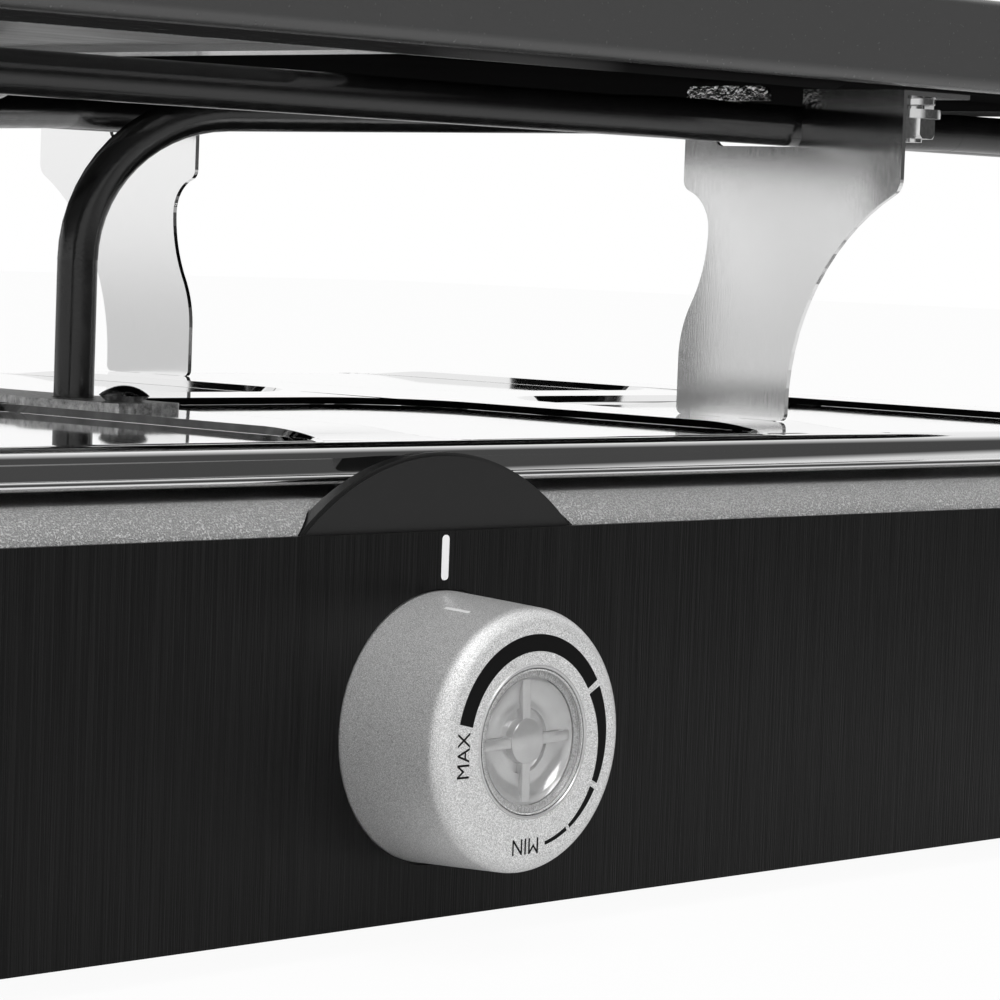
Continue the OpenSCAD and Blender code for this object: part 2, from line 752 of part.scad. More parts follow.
module bracket_outline() {
  foot_out = foot_in + foot_w;
  deep = bracket_in + bite_depth;
  big = [deep - bite_big_r, bite_z];
  small = [deep - bite_small_r, bite_z];
  round_x = foot_in + waist_round;
  round_a = acos((round_x - big[0]) / (bite_big_r + waist_round));
  round_c = [round_x, bite_z - (bite_big_r + waist_round) * sin(round_a)];
  ear_x = bracket_in + bite_corner;
  small_a = acos((ear_x - small[0]) / (bite_small_r + bite_corner));
  bite_c = [ear_x, bite_z + (bite_small_r + bite_corner) * sin(small_a)];
  flare = [foot_out + flare_r, flare_z];
  corner_x = bracket_out - flare_corner;
  corner_a = acos((flare[0] - corner_x) / (flare_r + flare_corner));
  corner_c = [corner_x, flare_z + (flare_r + flare_corner) * sin(corner_a)];
  neck_in = slot_out - neck_w;
  polygon(concat(
    arc([foot_in + foot_corner, z_land + foot_corner], foot_corner, 270, 180, 4),
    arc(round_c, waist_round, 180, 180 - round_a),
    arc(big, bite_big_r, -round_a, 0),
    arc(small, bite_small_r, 9, small_a),
    arc(bite_c, bite_corner, 180 + small_a, 180, 5),
    arc([bracket_in + ear_corner, ear_top - ear_corner], ear_corner, 180, 90, 5),
    arc([neck_in - ear_corner, ear_top - ear_corner], ear_corner, 90, 0, 5),
    [[neck_in, slot_top]],
    arc([slot_in + slot_corner, slot_top - slot_corner], slot_corner, 90, 180, 5),
    arc([slot_in + slot_corner, slot_low + slot_corner], slot_corner, 180, 270, 5),
    arc([slot_out - slot_corner, slot_low + slot_corner], slot_corner, 270, 360, 5),
    [[slot_out, z_rail], [bracket_out, z_rail]],
    arc(corner_c, flare_corner, 0, -corner_a, 6),
    arc(flare, flare_r, 180 - corner_a, 180, 14),
    arc([foot_out - foot_corner, z_land + foot_corner], foot_corner, 0, -90, 4)
  ));
}

module bracket() {
  translate([bracket_x, 0, 0]) {
    translate([-bracket_t / 2, 0, 0]) rotate([90, 0, 90]) linear_extrude(bracket_t) bracket_outline();
    for (s = [-1, 1]) translate([-bracket_t / 2, foot_in + foot_w / 2 + s * (tab_gap + tab_w) / 2 - tab_w / 2,
        z_land_under - bracket_t]) {
      cube([bracket_t, tab_w, tray_t + bracket_t + foot_corner]);
      cube([tab_turn, tab_w, bracket_t]);
    }
    difference() {
      translate([-bracket_t / 2, bracket_out - flange_d, z_rail - bracket_t])
        cube([flange_w, flange_d, bracket_t]);
      translate([bolt_x, bolt_y, z_rail - bracket_t - overrun])
        cylinder(r = bolt_r + fit_gap, h = bracket_t + 2 * overrun, $fn = fine_fn);
    }
  }
}

module bracket_front_right() {
  color([0.8, 0.8, 0.8]) placed() mirror([0, 1, 0]) bracket();
}

module bracket_front_left() {
  color([0.8, 0.8, 0.8]) placed() mirror([1, 0, 0]) mirror([0, 1, 0]) bracket();
}

module bracket_back_right() {
  color([0.8, 0.8, 0.8]) placed() bracket();
}

module bracket_back_left() {
  color([0.8, 0.8, 0.8]) placed() mirror([1, 0, 0]) bracket();
}

// Bracket hardware, from the top down: bolt, carrier rail, flange, spring washer, washer, nut

bolt_head_r = 3.4;
bolt_head_h = 2.4;
spring_t = 2.05;
spring_r = 4;
washer_t = 1.5;
washer_r = 4.9;
nut_r = 4.05;
nut_h = 3.4;
z_spring = z_rail - bracket_t - spring_t;
z_washer = z_spring - washer_t;
z_nut = z_washer - nut_h;

module at_bolts(z) {
  each_bay() translate([bracket_x + bolt_x, bolt_y, z]) children();
}

module collar(r, h) {
  difference() {
    cylinder(r = r, h = h, $fn = fine_fn);
    translate([0, 0, -overrun]) cylinder(r = bolt_r, h = h + 2 * overrun, $fn = fine_fn);
  }
}

module bracket_bolts() {
  color([0.7, 0.7, 0.7]) placed() at_bolts(z_seat) rotate([180, 0, 0])
    pan_screw(bolt_r - running_gap, z_seat - z_nut + 2 * fit_gap, bolt_head_r, bolt_head_h);
}

module spring_washers() {
  color([0.15, 0.15, 0.15]) placed() at_bolts(z_spring) collar(spring_r, spring_t);
}

module flat_washers() {
  color([0.85, 0.85, 0.85]) placed() at_bolts(z_washer) collar(washer_r, washer_t);
}

module hex_nuts() {
  color([0.8, 0.8, 0.8]) placed() at_bolts(z_nut) intersection() {
    difference() {
      cylinder(r = nut_r, h = nut_h, $fn = 6);
      translate([0, 0, -overrun]) cylinder(r = bolt_r, h = nut_h + 2 * overrun, $fn = fine_fn);
    }
    translate([0, 0, -nut_r / 4]) cylinder(r1 = nut_r * 0.8, r2 = nut_r * 1.6, h = nut_h * 2, $fn = fine_fn);
  }
}

// Carrier rail: a flat bar along each long side, whose lip hangs between the brackets, and a cross bar

lip_lead = 20.4;
lip_ramp = 2.8;
lip_hx = bracket_x - lip_lead;
bar_x = 5;

module rail_lip() {
  low = z_seat - rail_lip_h;
  translate([0, rail_hy, 0]) rotate([90, 0, 0]) linear_extrude(rail_t)
    polygon([
      [-lip_hx, low], [lip_hx, low], [lip_hx + lip_ramp, z_rail], [lip_hx + lip_ramp, z_rail + rail_t / 2],
      [-lip_hx - lip_ramp, z_rail + rail_t / 2], [-lip_hx - lip_ramp, z_rail]
    ]);
}

module carrier_rail() {
  color([0.1, 0.1, 0.1]) placed() difference() {
    union() {
      for (sy = [0, 1]) mirror([0, sy, 0]) {
        translate([-rail_hx, rail_hy - rail_leg_w, z_rail]) cube([2 * rail_hx, rail_leg_w, rail_t]);
        rail_lip();
      }
      translate([-bar_x, -rail_hy + rail_leg_w / 2, z_rail]) cube([2 * bar_x, 2 * rail_hy - rail_leg_w, rail_t]);
    }
    at_bolts(z_rail - overrun) cylinder(r = bolt_r + fit_gap, h = rail_t + 2 * overrun, $fn = fine_fn);
  }
}

// The surround's skirt hangs a little outside the rail, and its ledge rests on it

skirt_drop = 0.85;
skirt_round = 2.3;
ledge_w = 1.7;
ledge_t = 2;

module surround_profile() {
  top = z_seat + surround_h - surround_t / 2;
  low = z_seat - skirt_drop;
  inner = surround_r - surround_t;
  polygon([
    [inner, low], [surround_r - skirt_round, low], [surround_r, low + skirt_round], [surround_r, top],
    [inner, top]
  ]);
  intersection() {
    translate([surround_r - skirt_round, low + skirt_round]) circle(skirt_round);
    translate([surround_r - skirt_round, low]) square(skirt_round);
  }
  translate([inner - fit_gap - ledge_w, z_seat]) square([fit_gap + ledge_w + surround_t / 2, ledge_t]);
  translate([surround_r - surround_t / 2, top]) circle(surround_t / 2, $fn = fine_fn);
}

module plate_surround() {
  color([0.27, 0.27, 0.27]) placed() swept_rim(surround_hx, surround_hy, surround_r) surround_profile();
}

// Cooking plates: each rests on the rail's leg and on the cross bar, and lifts off

plate_gap = 1.5;
plate_hy = bolt_y - bolt_head_r - fit_gap;
plate_out = surround_hx - surround_t - fit_gap - ledge_w - plate_gap;
plate_hx = (plate_out - plate_gap / 2) / 2;
plate_x = plate_gap / 2 + plate_hx;
plate_r = 10;
plate_bevel = 1;
rim_w = 5;
rim_h = 6.5;
rib_w = 4;

module stone_plate() {
  color([0.55, 0.55, 0.55]) placed() translate([-plate_x, 0, 0])
    bevelled_slab(plate_hx, plate_hy, plate_r, z_seat, z_seat + stone_t, plate_bevel);
}

module grill_plate() {
  z_face = z_seat + grill_t;
  inner_hx = plate_hx - rim_w;
  inner_hy = plate_hy - rim_w;
  pitch = 2 * inner_hx / (rib_count + 1);
  color([0.2, 0.2, 0.2]) placed() translate([plate_x, 0, 0]) {
    difference() {
      bevelled_slab(plate_hx, plate_hy, plate_r, z_seat, z_face + rim_h, plate_bevel);
      rounded_plate(inner_hx, inner_hy, plate_r - rim_w / 2, z_face, z_face + rim_h + overrun);
    }
    for (i = [1:rib_count]) translate([-inner_hx + i * pitch, 0, z_face]) rotate([90, 0, 0])
      linear_extrude(2 * inner_hy - 2 * rim_w, center = true) intersection() {
        circle(rib_h, $fn = fine_fn);
        translate([-rib_w / 2, -overrun]) square([rib_w, rib_h + overrun]);
      }
  }
}

// Control: thermostat behind the arched plate, its shaft, and the knob

stat_w = 34;
stat_h = 28;
stat_d = 20;
stat_lid = 4;

module thermostat_body() {
  color([0.85, 0.83, 0.76]) placed() difference() {
    union() {
      translate([-stat_w / 2, -panel_back + dial_t, z_knob - stat_h / 2]) cube([stat_w, stat_d, stat_h]);
      translate([-stat_w / 3, -panel_back + dial_t + stat_d, z_knob - stat_h / 3])
        cube([2 * stat_w / 3, stat_lid, 2 * stat_h / 3]);
      on_knob_axis(panel_back - dial_t - overrun) cylinder(r = bush_r, h = dial_t + overrun + knob_wall);
    }
    on_knob_axis(panel_back - dial_t - stat_d / 2)
      cylinder(d = shaft_d + 2 * running_gap, h = stat_d + dial_t + knob_wall);
    for (s = [-1, 1]) on_knob_axis(panel_back - dial_t - stat_d / 2) translate([s * stat_screw_x, 0, 0])
      cylinder(r = stat_screw_r, h = stat_d, $fn = fine_fn);
    on_knob_axis(panel_back - dial_t - lamp_back - overrun) translate([0, lamp_off, 0])
      cylinder(r = lamp_r + fit_gap, h = lamp_back + 2 * overrun, $fn = fine_fn);
  }
}

module thermostat_screws() {
  color([0.6, 0.6, 0.6]) placed() for (s = [-1, 1]) on_knob_axis(panel_back) translate([s * stat_screw_x, 0, 0])
    rotate([180, 0, 0]) pan_screw(stat_screw_r - running_gap, dial_t + stat_d / 3, 1.8 * stat_screw_r,
                                  0.9 * stat_screw_r);
}

lamp_back = 6;
lamp_out = 4;

module pilot_lamp() {
  color([0.8, 0.35, 0.2]) placed() on_knob_axis(panel_back - dial_t - lamp_back) translate([0, lamp_off, 0]) {
    cylinder(r = lamp_r, h = lamp_back + dial_t + lamp_out - lamp_r, $fn = fine_fn);
    translate([0, 0, lamp_back + dial_t + lamp_out - lamp_r]) sphere(lamp_r, $fn = fine_fn);
  }
}

shaft_back = stat_d / 2 + dial_t - fit_gap;
shaft_cover = 4.9;
shaft_out = knob_len - shaft_cover;
shaft_flat = 1;

module thermostat_shaft() {
  color([0.7, 0.68, 0.6]) placed() on_knob_axis(panel_back - shaft_back) difference() {
    cylinder(d = shaft_d, h = shaft_back + shaft_out);
    translate([-shaft_d, shaft_d / 2 - shaft_flat, shaft_back + shaft_out / 3])
      cube([2 * shaft_d, shaft_d, shaft_out]);
  }
}

clip_t = 0.5;

module shaft_clip() {
  color([0.6, 0.62, 0.65]) placed() on_knob_axis(panel_back + shaft_out / 3 + fit_gap)
    translate([-shaft_d / 4, shaft_d / 2 - shaft_flat + running_gap, 0]) cube([shaft_d / 2, clip_t, shaft_out / 2]);
}

hub_wall = 1.6;
hub_r = shaft_d / 2 + hub_wall;
hub_foot = 3.2;
guide_t = 0.9;
guide_lip_r = window_r - 1;
guide_rib_t = 1.2;
guide_rib_foot = 8;
guide_set_in = 0.2;

module light_guide() {
  front = knob_len - guide_set_in;
  bore_end = shaft_out + fit_gap - (knob_foot - panel_back) + fit_gap;
  color([0.75, 0.75, 0.75, 0.6]) placed() on_knob_axis(knob_foot) difference() {
    union() {
      translate([0, 0, knob_len - guide_t]) cylinder(r = window_r - fit_gap / 3, h = guide_t - guide_set_in);
      translate([0, 0, knob_len - knob_wall - guide_t]) cylinder(r = guide_lip_r - fit_gap / 3, h = knob_wall + fit_gap);
      translate([0, 0, hub_foot]) cylinder(r = hub_r, h = front - hub_foot - guide_t);
      for (a = [0, 90]) rotate([0, 0, a]) translate([-guide_lip_r + fit_gap, -guide_rib_t / 2, guide_rib_foot])
        cube([2 * (guide_lip_r - fit_gap), guide_rib_t, front - guide_rib_foot - guide_t]);
    }
    difference() {
      cylinder(d = shaft_d + 2 * running_gap, h = bore_end);
      translate([-shaft_d, shaft_d / 2 - shaft_flat + clip_t + 2 * running_gap, shaft_out / 3])
        cube([2 * shaft_d, shaft_d, shaft_out]);
    }
  }
}

module knob_shell() {
  face_in = knob_face_r - knob_round;
  color([0.68, 0.68, 0.68]) placed() on_knob_axis(knob_foot) rotate_extrude() difference() {
    union() {
      polygon([
        [0, 0], [knob_r, 0], [knob_face_r, knob_len - knob_round], [face_in, knob_len], [0, knob_len]
      ]);
      translate([face_in, knob_len - knob_round]) circle(knob_round);
    }
    polygon([
      [-overrun, -overrun], [knob_r - knob_wall, -overrun],
      [knob_face_r - knob_wall, knob_len - knob_round - knob_wall / 2],
      [face_in, knob_len - knob_wall], [-overrun, knob_len - knob_wall]
    ]);
    translate([-overrun, 0]) square([guide_lip_r + overrun, knob_len + overrun]);
    translate([-overrun, knob_len - guide_t]) square([window_r + overrun, guide_t + overrun]);
  }
}

base_housing();
front_panel();
dial_backplate();
bottom_cover();
cover_screws();
rubber_feet();
heat_shield();
cord_gland();
gland_nut();
terminal_block();
drip_tray();
tray_standoffs();
tray_screws();
element_clamp();
clamp_backing_bar();
clamp_screws();
heating_element();
cold_pins();
ceramic_beads();
bracket_front_right();
bracket_front_left();
bracket_back_right();
bracket_back_left();
bracket_bolts();
spring_washers();
flat_washers();
hex_nuts();
carrier_rail();
plate_surround();
stone_plate();
grill_plate();
thermostat_body();
thermostat_screws();
pilot_lamp();
thermostat_shaft();
shaft_clip();
light_guide();
knob_shell();
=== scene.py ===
# %% [markdown]
# # A raclette grill, dressed for the studio
# The construction model gives every solid of the grill in its final place. This script keeps
# those solids, gives each one the finish that it has on the real grill, and adds what is too
# fine for the construction model: the ends and the sloped sides of the tray's pressed lands, the
# split in a washer, the print on the dial, and the window with its moulding in the knob. All of
# it could be modelled anew here, but the joints move the solids, so the solids stay the measure.

# %% Load the frame
import math

import bpy
from mathutils import Matrix, Vector


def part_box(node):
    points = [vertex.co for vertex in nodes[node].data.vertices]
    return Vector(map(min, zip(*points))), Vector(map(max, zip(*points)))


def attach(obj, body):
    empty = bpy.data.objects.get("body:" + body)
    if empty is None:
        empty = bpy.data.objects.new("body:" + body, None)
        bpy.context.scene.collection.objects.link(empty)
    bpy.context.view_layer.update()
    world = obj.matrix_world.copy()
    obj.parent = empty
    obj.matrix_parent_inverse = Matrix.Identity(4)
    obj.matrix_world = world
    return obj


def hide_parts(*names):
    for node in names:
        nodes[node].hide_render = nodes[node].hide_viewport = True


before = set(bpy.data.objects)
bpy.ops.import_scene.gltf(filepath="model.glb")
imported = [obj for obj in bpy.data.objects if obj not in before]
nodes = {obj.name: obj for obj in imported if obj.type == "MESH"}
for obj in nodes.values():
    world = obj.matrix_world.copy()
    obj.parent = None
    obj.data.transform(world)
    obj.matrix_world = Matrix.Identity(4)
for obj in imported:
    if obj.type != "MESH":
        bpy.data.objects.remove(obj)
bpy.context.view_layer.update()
MM = 0.001

# %% [markdown]
# ## The camera
# A close product shot is taken with a long lens. The lines of the photograph that run along
# the grill, across it and upwards meet in three vanishing points, and these give the lens and
# the three turns of the camera. The known size of the knob then gives the distance. A camera
# could also be turned by eye, but a fault of a tenth of a degree already shows at the rims.

# %% The camera
panel_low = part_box("front_panel")[0]
knob_low, knob_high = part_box("knob_shell")
knob_axis_x = (knob_low.x + knob_high.x) / 2
knob_axis_z = (knob_low.z + knob_high.z) / 2
knob_face_y = knob_low.y
YAW, PITCH, ROLL = 46.2041, 3.80778, 2.07193
EYE_LEFT, EYE_AHEAD, EYE_ABOVE = 0.41006, 0.38481, 0.07225
SENSOR_WIDTH, LENS_PER_WIDTH = 36, 3.91647


def axes_of_camera(yaw, pitch, roll):
    """The camera's right, up and forward directions. Yaw turns from +Y towards +X."""
    forward = Vector((math.sin(yaw) * math.cos(pitch), math.cos(yaw) * math.cos(pitch), -math.sin(pitch)))
    level = Vector((math.cos(yaw), -math.sin(yaw), 0))
    above = level.cross(forward)
    right = math.cos(roll) * level + math.sin(roll) * above
    up = -math.sin(roll) * level + math.cos(roll) * above
    return right, up, forward


camera = bpy.data.objects.new("camera", bpy.data.cameras.new("camera"))
bpy.context.scene.collection.objects.link(camera)
bpy.context.scene.camera = camera
right, up, forward = axes_of_camera(math.radians(YAW), math.radians(PITCH), math.radians(ROLL))
turn = Matrix((right, up, -forward)).transposed().to_4x4()
eye = Vector((knob_axis_x - EYE_LEFT, knob_face_y - EYE_AHEAD, knob_axis_z + EYE_ABOVE))
camera.matrix_world = Matrix.Translation(eye) @ turn
camera.data.sensor_width = SENSOR_WIDTH
camera.data.lens = SENSOR_WIDTH * LENS_PER_WIDTH
camera.data.clip_start = 0.02
print("eye in mm:", [round(c / MM, 1) for c in eye], "lens:", round(camera.data.lens, 1))

# %% [markdown]
# ## The surroundings
# Polished steel shows its surroundings rather than itself, so they matter as much as the lamps:
# white all round, and dark towards the front right, where the room beyond the white sweep lies.
# A picture of a room could do this too, but a ramp along one direction is easier to steer. The
# camera itself sees plain white, and the dim part is for mirrored rays only.

# %% The surroundings
scene = bpy.context.scene
scene.view_settings.view_transform = "Standard"

world = bpy.data.worlds.new("studio")
scene.world = world
world.use_nodes = True
sky = world.node_tree
sky.nodes.clear()
ROOM_WAY = (0.62, -0.78)
ROOM_EDGE, ROOM_HEART, ROOM_GREY, AMBIENT = 0.55, 0.86, 0.07, 0.62


def node_in(tree, kind, **settings):
    made = tree.nodes.new(kind)
    for name, value in settings.items():
        setattr(made, name, value)
    return made


def set_ramp(ramp, *stops):
    for stop, (position, tone) in zip(ramp.elements, stops):
        stop.position, stop.color = position, (tone, tone, tone, 1)


shown = node_in(sky, "ShaderNodeBackground")
lit = node_in(sky, "ShaderNodeBackground")
lit.inputs["Color"].default_value = (1, 1, 1, 1)
lit.inputs["Strength"].default_value = AMBIENT
plain = node_in(sky, "ShaderNodeBackground")
plain.inputs["Color"].default_value = (1, 1, 1, 1)
paths = node_in(sky, "ShaderNodeLightPath")
where = node_in(sky, "ShaderNodeTexCoord")
facing = node_in(sky, "ShaderNodeVectorMath", operation="DOT_PRODUCT")
facing.inputs[1].default_value = Vector((*ROOM_WAY, -0.05)).normalized()
dim = node_in(sky, "ShaderNodeValToRGB")
set_ramp(dim.color_ramp, (ROOM_EDGE, 1), (ROOM_HEART, ROOM_GREY))
mirrored = node_in(sky, "ShaderNodeMixShader")
seen = node_in(sky, "ShaderNodeMixShader")
out = node_in(sky, "ShaderNodeOutputWorld")
sky.links.new(where.outputs["Generated"], facing.inputs[0])
sky.links.new(facing.outputs["Value"], dim.inputs["Fac"])
sky.links.new(dim.outputs["Color"], shown.inputs["Color"])
sky.links.new(paths.outputs["Is Glossy Ray"], mirrored.inputs["Fac"])
sky.links.new(lit.outputs[0], mirrored.inputs[1])
sky.links.new(shown.outputs[0], mirrored.inputs[2])
sky.links.new(paths.outputs["Is Camera Ray"], seen.inputs["Fac"])
sky.links.new(mirrored.outputs[0], seen.inputs[1])
sky.links.new(plain.outputs[0], seen.inputs[2])
sky.links.new(seen.outputs[0], out.inputs["Surface"])
print("surroundings: ambient", AMBIENT, "and a grey of", ROOM_GREY, "towards", ROOM_WAY)

# %% [markdown]
# ## The lamps
# A large soft box hangs above the grill and gives the long smooth lights on the tube and the rim.
# A weak one fills the left side, and a third in front lights the panel and the knob. Small lamps
# would draw hard spots on the polished steel, so all three are wide areas.

# %% The lamps
def soft_light(name, place, target, size, power):
    light = bpy.data.lights.new(name, "AREA")
    light.shape = "SQUARE"
    light.size = size
    light.energy = power
    made = bpy.data.objects.new(name, light)
    scene.collection.objects.link(made)
    made.location = place
    made.rotation_euler = (Vector(target) - Vector(place)).to_track_quat("-Z", "Y").to_euler()
    return made


lamps = [soft_light("overhead", (-0.3, -0.7, 1.5), (0, 0, 0.08), 1.2, 11),
         soft_light("left", (-1.3, -0.5, 0.5), (0, -0.1, 0.06), 0.7, 0.5),
         soft_light("front", (0.2, -1.3, 0.6), (0, -0.1, 0.06), 0.5, 3.4)]
print("lamps in watts:", {lamp.name: round(lamp.data.energy, 1) for lamp in lamps})

# %% [markdown]
# ## The floor
# The white sweep is paper. To the camera it is almost pure white, and a small share of it is left
# as real paper, so that the grill's shadow still lies on it. For every other ray its colour carries
# a painted shade that darkens it to grey towards the room, where a real sweep falls off into less
# light, because the tray's rim and the knob mirror it. A shadow catcher would be simpler, but it
# would leave nothing for the steel to mirror.

# %% The floor
# The floor's far grey is a painted shade: it stands in for the light falling off towards the room.
CLOTH, FAR_PAINTED_SHADE, FADE_FROM, FADE_TO, OWN_LIGHT = 0.88, 0.36, 0.3, 0.8, 0.95
bpy.ops.object.select_all(action="DESELECT")
bpy.ops.mesh.primitive_plane_add(size=12, location=(0, 0, 0))
floor = bpy.context.object
floor.name = "floor"
paper = bpy.data.materials.new("white_sweep")
paper.use_nodes = True
sweep = paper.node_tree
sweep.nodes.clear()
cloth = node_in(sweep, "ShaderNodeBsdfDiffuse")
cloth.inputs["Color"].default_value = (CLOTH, CLOTH, CLOTH, 1)
glow = node_in(sweep, "ShaderNodeEmission")
share = node_in(sweep, "ShaderNodeLightPath")
part = node_in(sweep, "ShaderNodeMath", operation="MULTIPLY")
part.inputs[1].default_value = OWN_LIGHT
blend = node_in(sweep, "ShaderNodeMixShader")
ground = node_in(sweep, "ShaderNodeOutputMaterial")
spot = node_in(sweep, "ShaderNodeTexCoord")
out_there = node_in(sweep, "ShaderNodeVectorMath", operation="DOT_PRODUCT")
out_there.inputs[1].default_value = (*ROOM_WAY, 0)
# Painted shade: the floor's colour darkens to grey with distance towards the room.
fade = node_in(sweep, "ShaderNodeValToRGB")
set_ramp(fade.color_ramp, (FADE_FROM, CLOTH), (FADE_TO, FAR_PAINTED_SHADE))
sweep.links.new(spot.outputs["Object"], out_there.inputs[0])
sweep.links.new(out_there.outputs["Value"], fade.inputs["Fac"])
sweep.links.new(fade.outputs["Color"], cloth.inputs["Color"])
sweep.links.new(share.outputs["Is Camera Ray"], part.inputs[0])
sweep.links.new(part.outputs[0], blend.inputs["Fac"])
sweep.links.new(cloth.outputs[0], blend.inputs[1])
sweep.links.new(glow.outputs[0], blend.inputs[2])
sweep.links.new(blend.outputs[0], ground.inputs["Surface"])
floor.data.materials.append(paper)
print("floor:", round(floor.dimensions.x), "m wide, fades from", FADE_FROM, "to", FADE_TO, "m")

# %% [markdown]
# ## Shader sums in plain Python
# A finish is a small sum of noises and ramps. In the node editor each plus and times is a node of
# its own, with wires to follow. Here a Value wraps a socket, and an expression on values adds the
# Math nodes by itself, so that a finish reads as the sum that it is.

# %% Shader sums
class Value:
    def __init__(self, finish, socket):
        self.finish, self.socket = finish, socket

    def sum(self, operation, first, second):
        return self.finish.node("ShaderNodeMath", {"operation": operation}, first, second)

    def __add__(self, other): return self.sum("ADD", self, other)
    def __radd__(self, other): return self.sum("ADD", other, self)
    def __sub__(self, other): return self.sum("SUBTRACT", self, other)
    def __rsub__(self, other): return self.sum("SUBTRACT", other, self)
    def __mul__(self, other): return self.sum("MULTIPLY", self, other)
    def __rmul__(self, other): return self.sum("MULTIPLY", other, self)


# %% [markdown]
# ## One finish
# A Finish is one material on Blender's principled shader, with short calls for what the finishes
# of a grill need: noise, ramp, grey and relief. Plain numbers stay on the shader's own sockets. All
# patterns read Object coordinates in metres, so a size in a pattern is a size on the grill.

# %% One finish
class Finish:
    """One material. Plain numbers are set on the shader's sockets, and sums are linked to them."""

    def __init__(self, name, **plain):
        self.material = bpy.data.materials.new(name)
        self.material.use_nodes = True
        self.tree = self.material.node_tree
        self.skin = self.tree.nodes["Principled BSDF"]
        for socket, value in plain.items():
            self.put(socket.replace("_", " "), value)

    def put(self, name, value):
        socket = self.skin.inputs[name]
        if isinstance(value, Value):
            self.tree.links.new(value.socket, socket)
        elif name == "Base Color" and not isinstance(value, tuple):
            socket.default_value = (value, value, value, 1)
        elif isinstance(value, tuple):
            socket.default_value = (*value, 1)[:4]
        else:
            socket.default_value = value

    def node(self, kind, settings=None, *feeds, take=0, **named):
        made = self.tree.nodes.new(kind)
        for name, value in (settings or {}).items():
            if name == "stops":
                set_ramp(made.color_ramp, *value)
            else:
                setattr(made, name, value)
        sockets = list(enumerate(feeds)) + [(n.replace("_", " "), v) for n, v in named.items()]
        for name, value in sockets:
            if isinstance(value, Value):
                self.tree.links.new(value.socket, made.inputs[name])
            else:
                made.inputs[name].default_value = value
        return Value(self, made.outputs[take])

    def place(self, *stretch):
        """Object coordinates in metres, times a number for each axis."""
        spot = self.node("ShaderNodeTexCoord", take="Object")
        if not stretch:
            return spot
        return self.node("ShaderNodeVectorMath", {"operation": "MULTIPLY"}, spot, stretch)

    def along(self, axis):
        """Where a point lies along an axis of the grill, in metres."""
        return self.node("ShaderNodeSeparateXYZ", {}, self.place(), take="XYZ".index(axis))

    def noise(self, *stretch, detail=2.0, roughness=0.5):
        return self.node("ShaderNodeTexNoise", {}, Vector=self.place(*stretch), Scale=1.0, Detail=detail,
                         Roughness=roughness)

    def ramp(self, value, *stops):
        return self.node("ShaderNodeValToRGB", {"stops": stops}, value)

    def grey(self, mask, dark, light):
        """A grey between two levels from 0 to 255, by a mask from 0 to 1."""
        return self.mix(mask, (srgb(dark),) * 3, (srgb(light),) * 3)

    def mix(self, mask, first, second):
        made = self.tree.nodes.new("ShaderNodeMix")
        made.data_type = "RGBA"
        for index, value in ((0, mask), (6, first), (7, second)):
            if isinstance(value, Value):
                self.tree.links.new(value.socket, made.inputs[index])
            else:
                made.inputs[index].default_value = value if index == 0 else (*value, 1)
        return Value(self, made.outputs[2])

    def relief(self, height, depth):
        """Bumps the surface: height is a mask from 0 to 1, depth its full height in metres."""
        made = self.node("ShaderNodeBump", {}, Height=height, Distance=depth, Strength=1.0)
        self.tree.links.new(made.socket, self.skin.inputs["Normal"])


# %% [markdown]
# ## Dressing the solids
# Greys are written as the levels that a picture shows, from 0 to 255, and turned into the linear
# values that the shader counts in. A solid keeps its mesh and its place, and only what its own
# material slots hold is exchanged.

# %% Dressing the solids
def srgb(level):
    """The linear value of a grey level from 0 to 255."""
    part = level / 255
    return part / 12.92 if part <= 0.04045 else ((part + 0.055) / 1.055) ** 2.4


def dress(finish, *names):
    """Puts a finish on the solids' own material slots."""
    for name in names:
        slots = nodes[name].data.materials
        if len(slots) == 0:
            slots.append(finish.material)
        for index in range(len(slots)):
            slots[index] = finish.material
    print(finish.material.name, "on", ", ".join(names))


# %% [markdown]
# ## Moulded housing
# The housing is grey plastic with a fine leathery grain that the etched mould leaves. It could be
# carved as real relief, but at a third of a millimetre that would take millions of faces. One
# noise of that size drives a bump and a slight change of grey, which keeps the mesh light.

# %% Moulded housing
moulded = Finish("moulded_grain", Base_Color=srgb(168), Roughness=0.5)
ridges = moulded.noise(3400, 3400, 3400, detail=2, roughness=0.55)
folds = moulded.ramp(ridges, (0.4, 0.0), (0.6, 1.0))
moulded.relief(folds, 0.00022)
moulded.put("Base Color", moulded.grey(folds, 146, 196))
moulded.put("Roughness", ridges * 0.2 + 0.38)
dress(moulded, "base_housing")

# %% [markdown]
# ## Brushed black panel
# The panel is black metal, brushed upright. Brushing could be faked with the shader's own
# stretched highlight, but then no single hair would show. A noise that is long upright and thin
# across tilts the surface from side to side, and spreads each reflection as real brushing does.

# %% Brushed black panel
brushed = Finish("black_brushed", Base_Color=srgb(24), Roughness=0.32, Specular_IOR_Level=0.12)
hairs = brushed.noise(4200, 4200, 30, detail=2, roughness=0.6)
brushed.relief(hairs, 0.0001)
brushed.put("Base Color", brushed.grey(brushed.ramp(hairs, (0.4, 0.0), (0.72, 1.0)), 10, 24))
brushed.put("Roughness", hairs * 0.25 + 0.22)
dress(brushed, "front_panel")

# %% [markdown]
# ## Arched plate
# Behind the knob stands a plate with a smooth black coat, a little glossier than the panel. It
# could share the panel's finish, but it isn't brushed. It gets only the finest unevenness, so that
# its one broad reflection has a soft edge.

# %% Arched plate
plate_black = Finish("dial_plate_black", Base_Color=srgb(30), Roughness=0.35, Specular_IOR_Level=0.3)
fine = plate_black.noise(9000, 9000, 9000, detail=2)
plate_black.relief(fine, 0.00003)
plate_black.put("Roughness", fine * 0.2 + 0.25)
dress(plate_black, "dial_backplate")

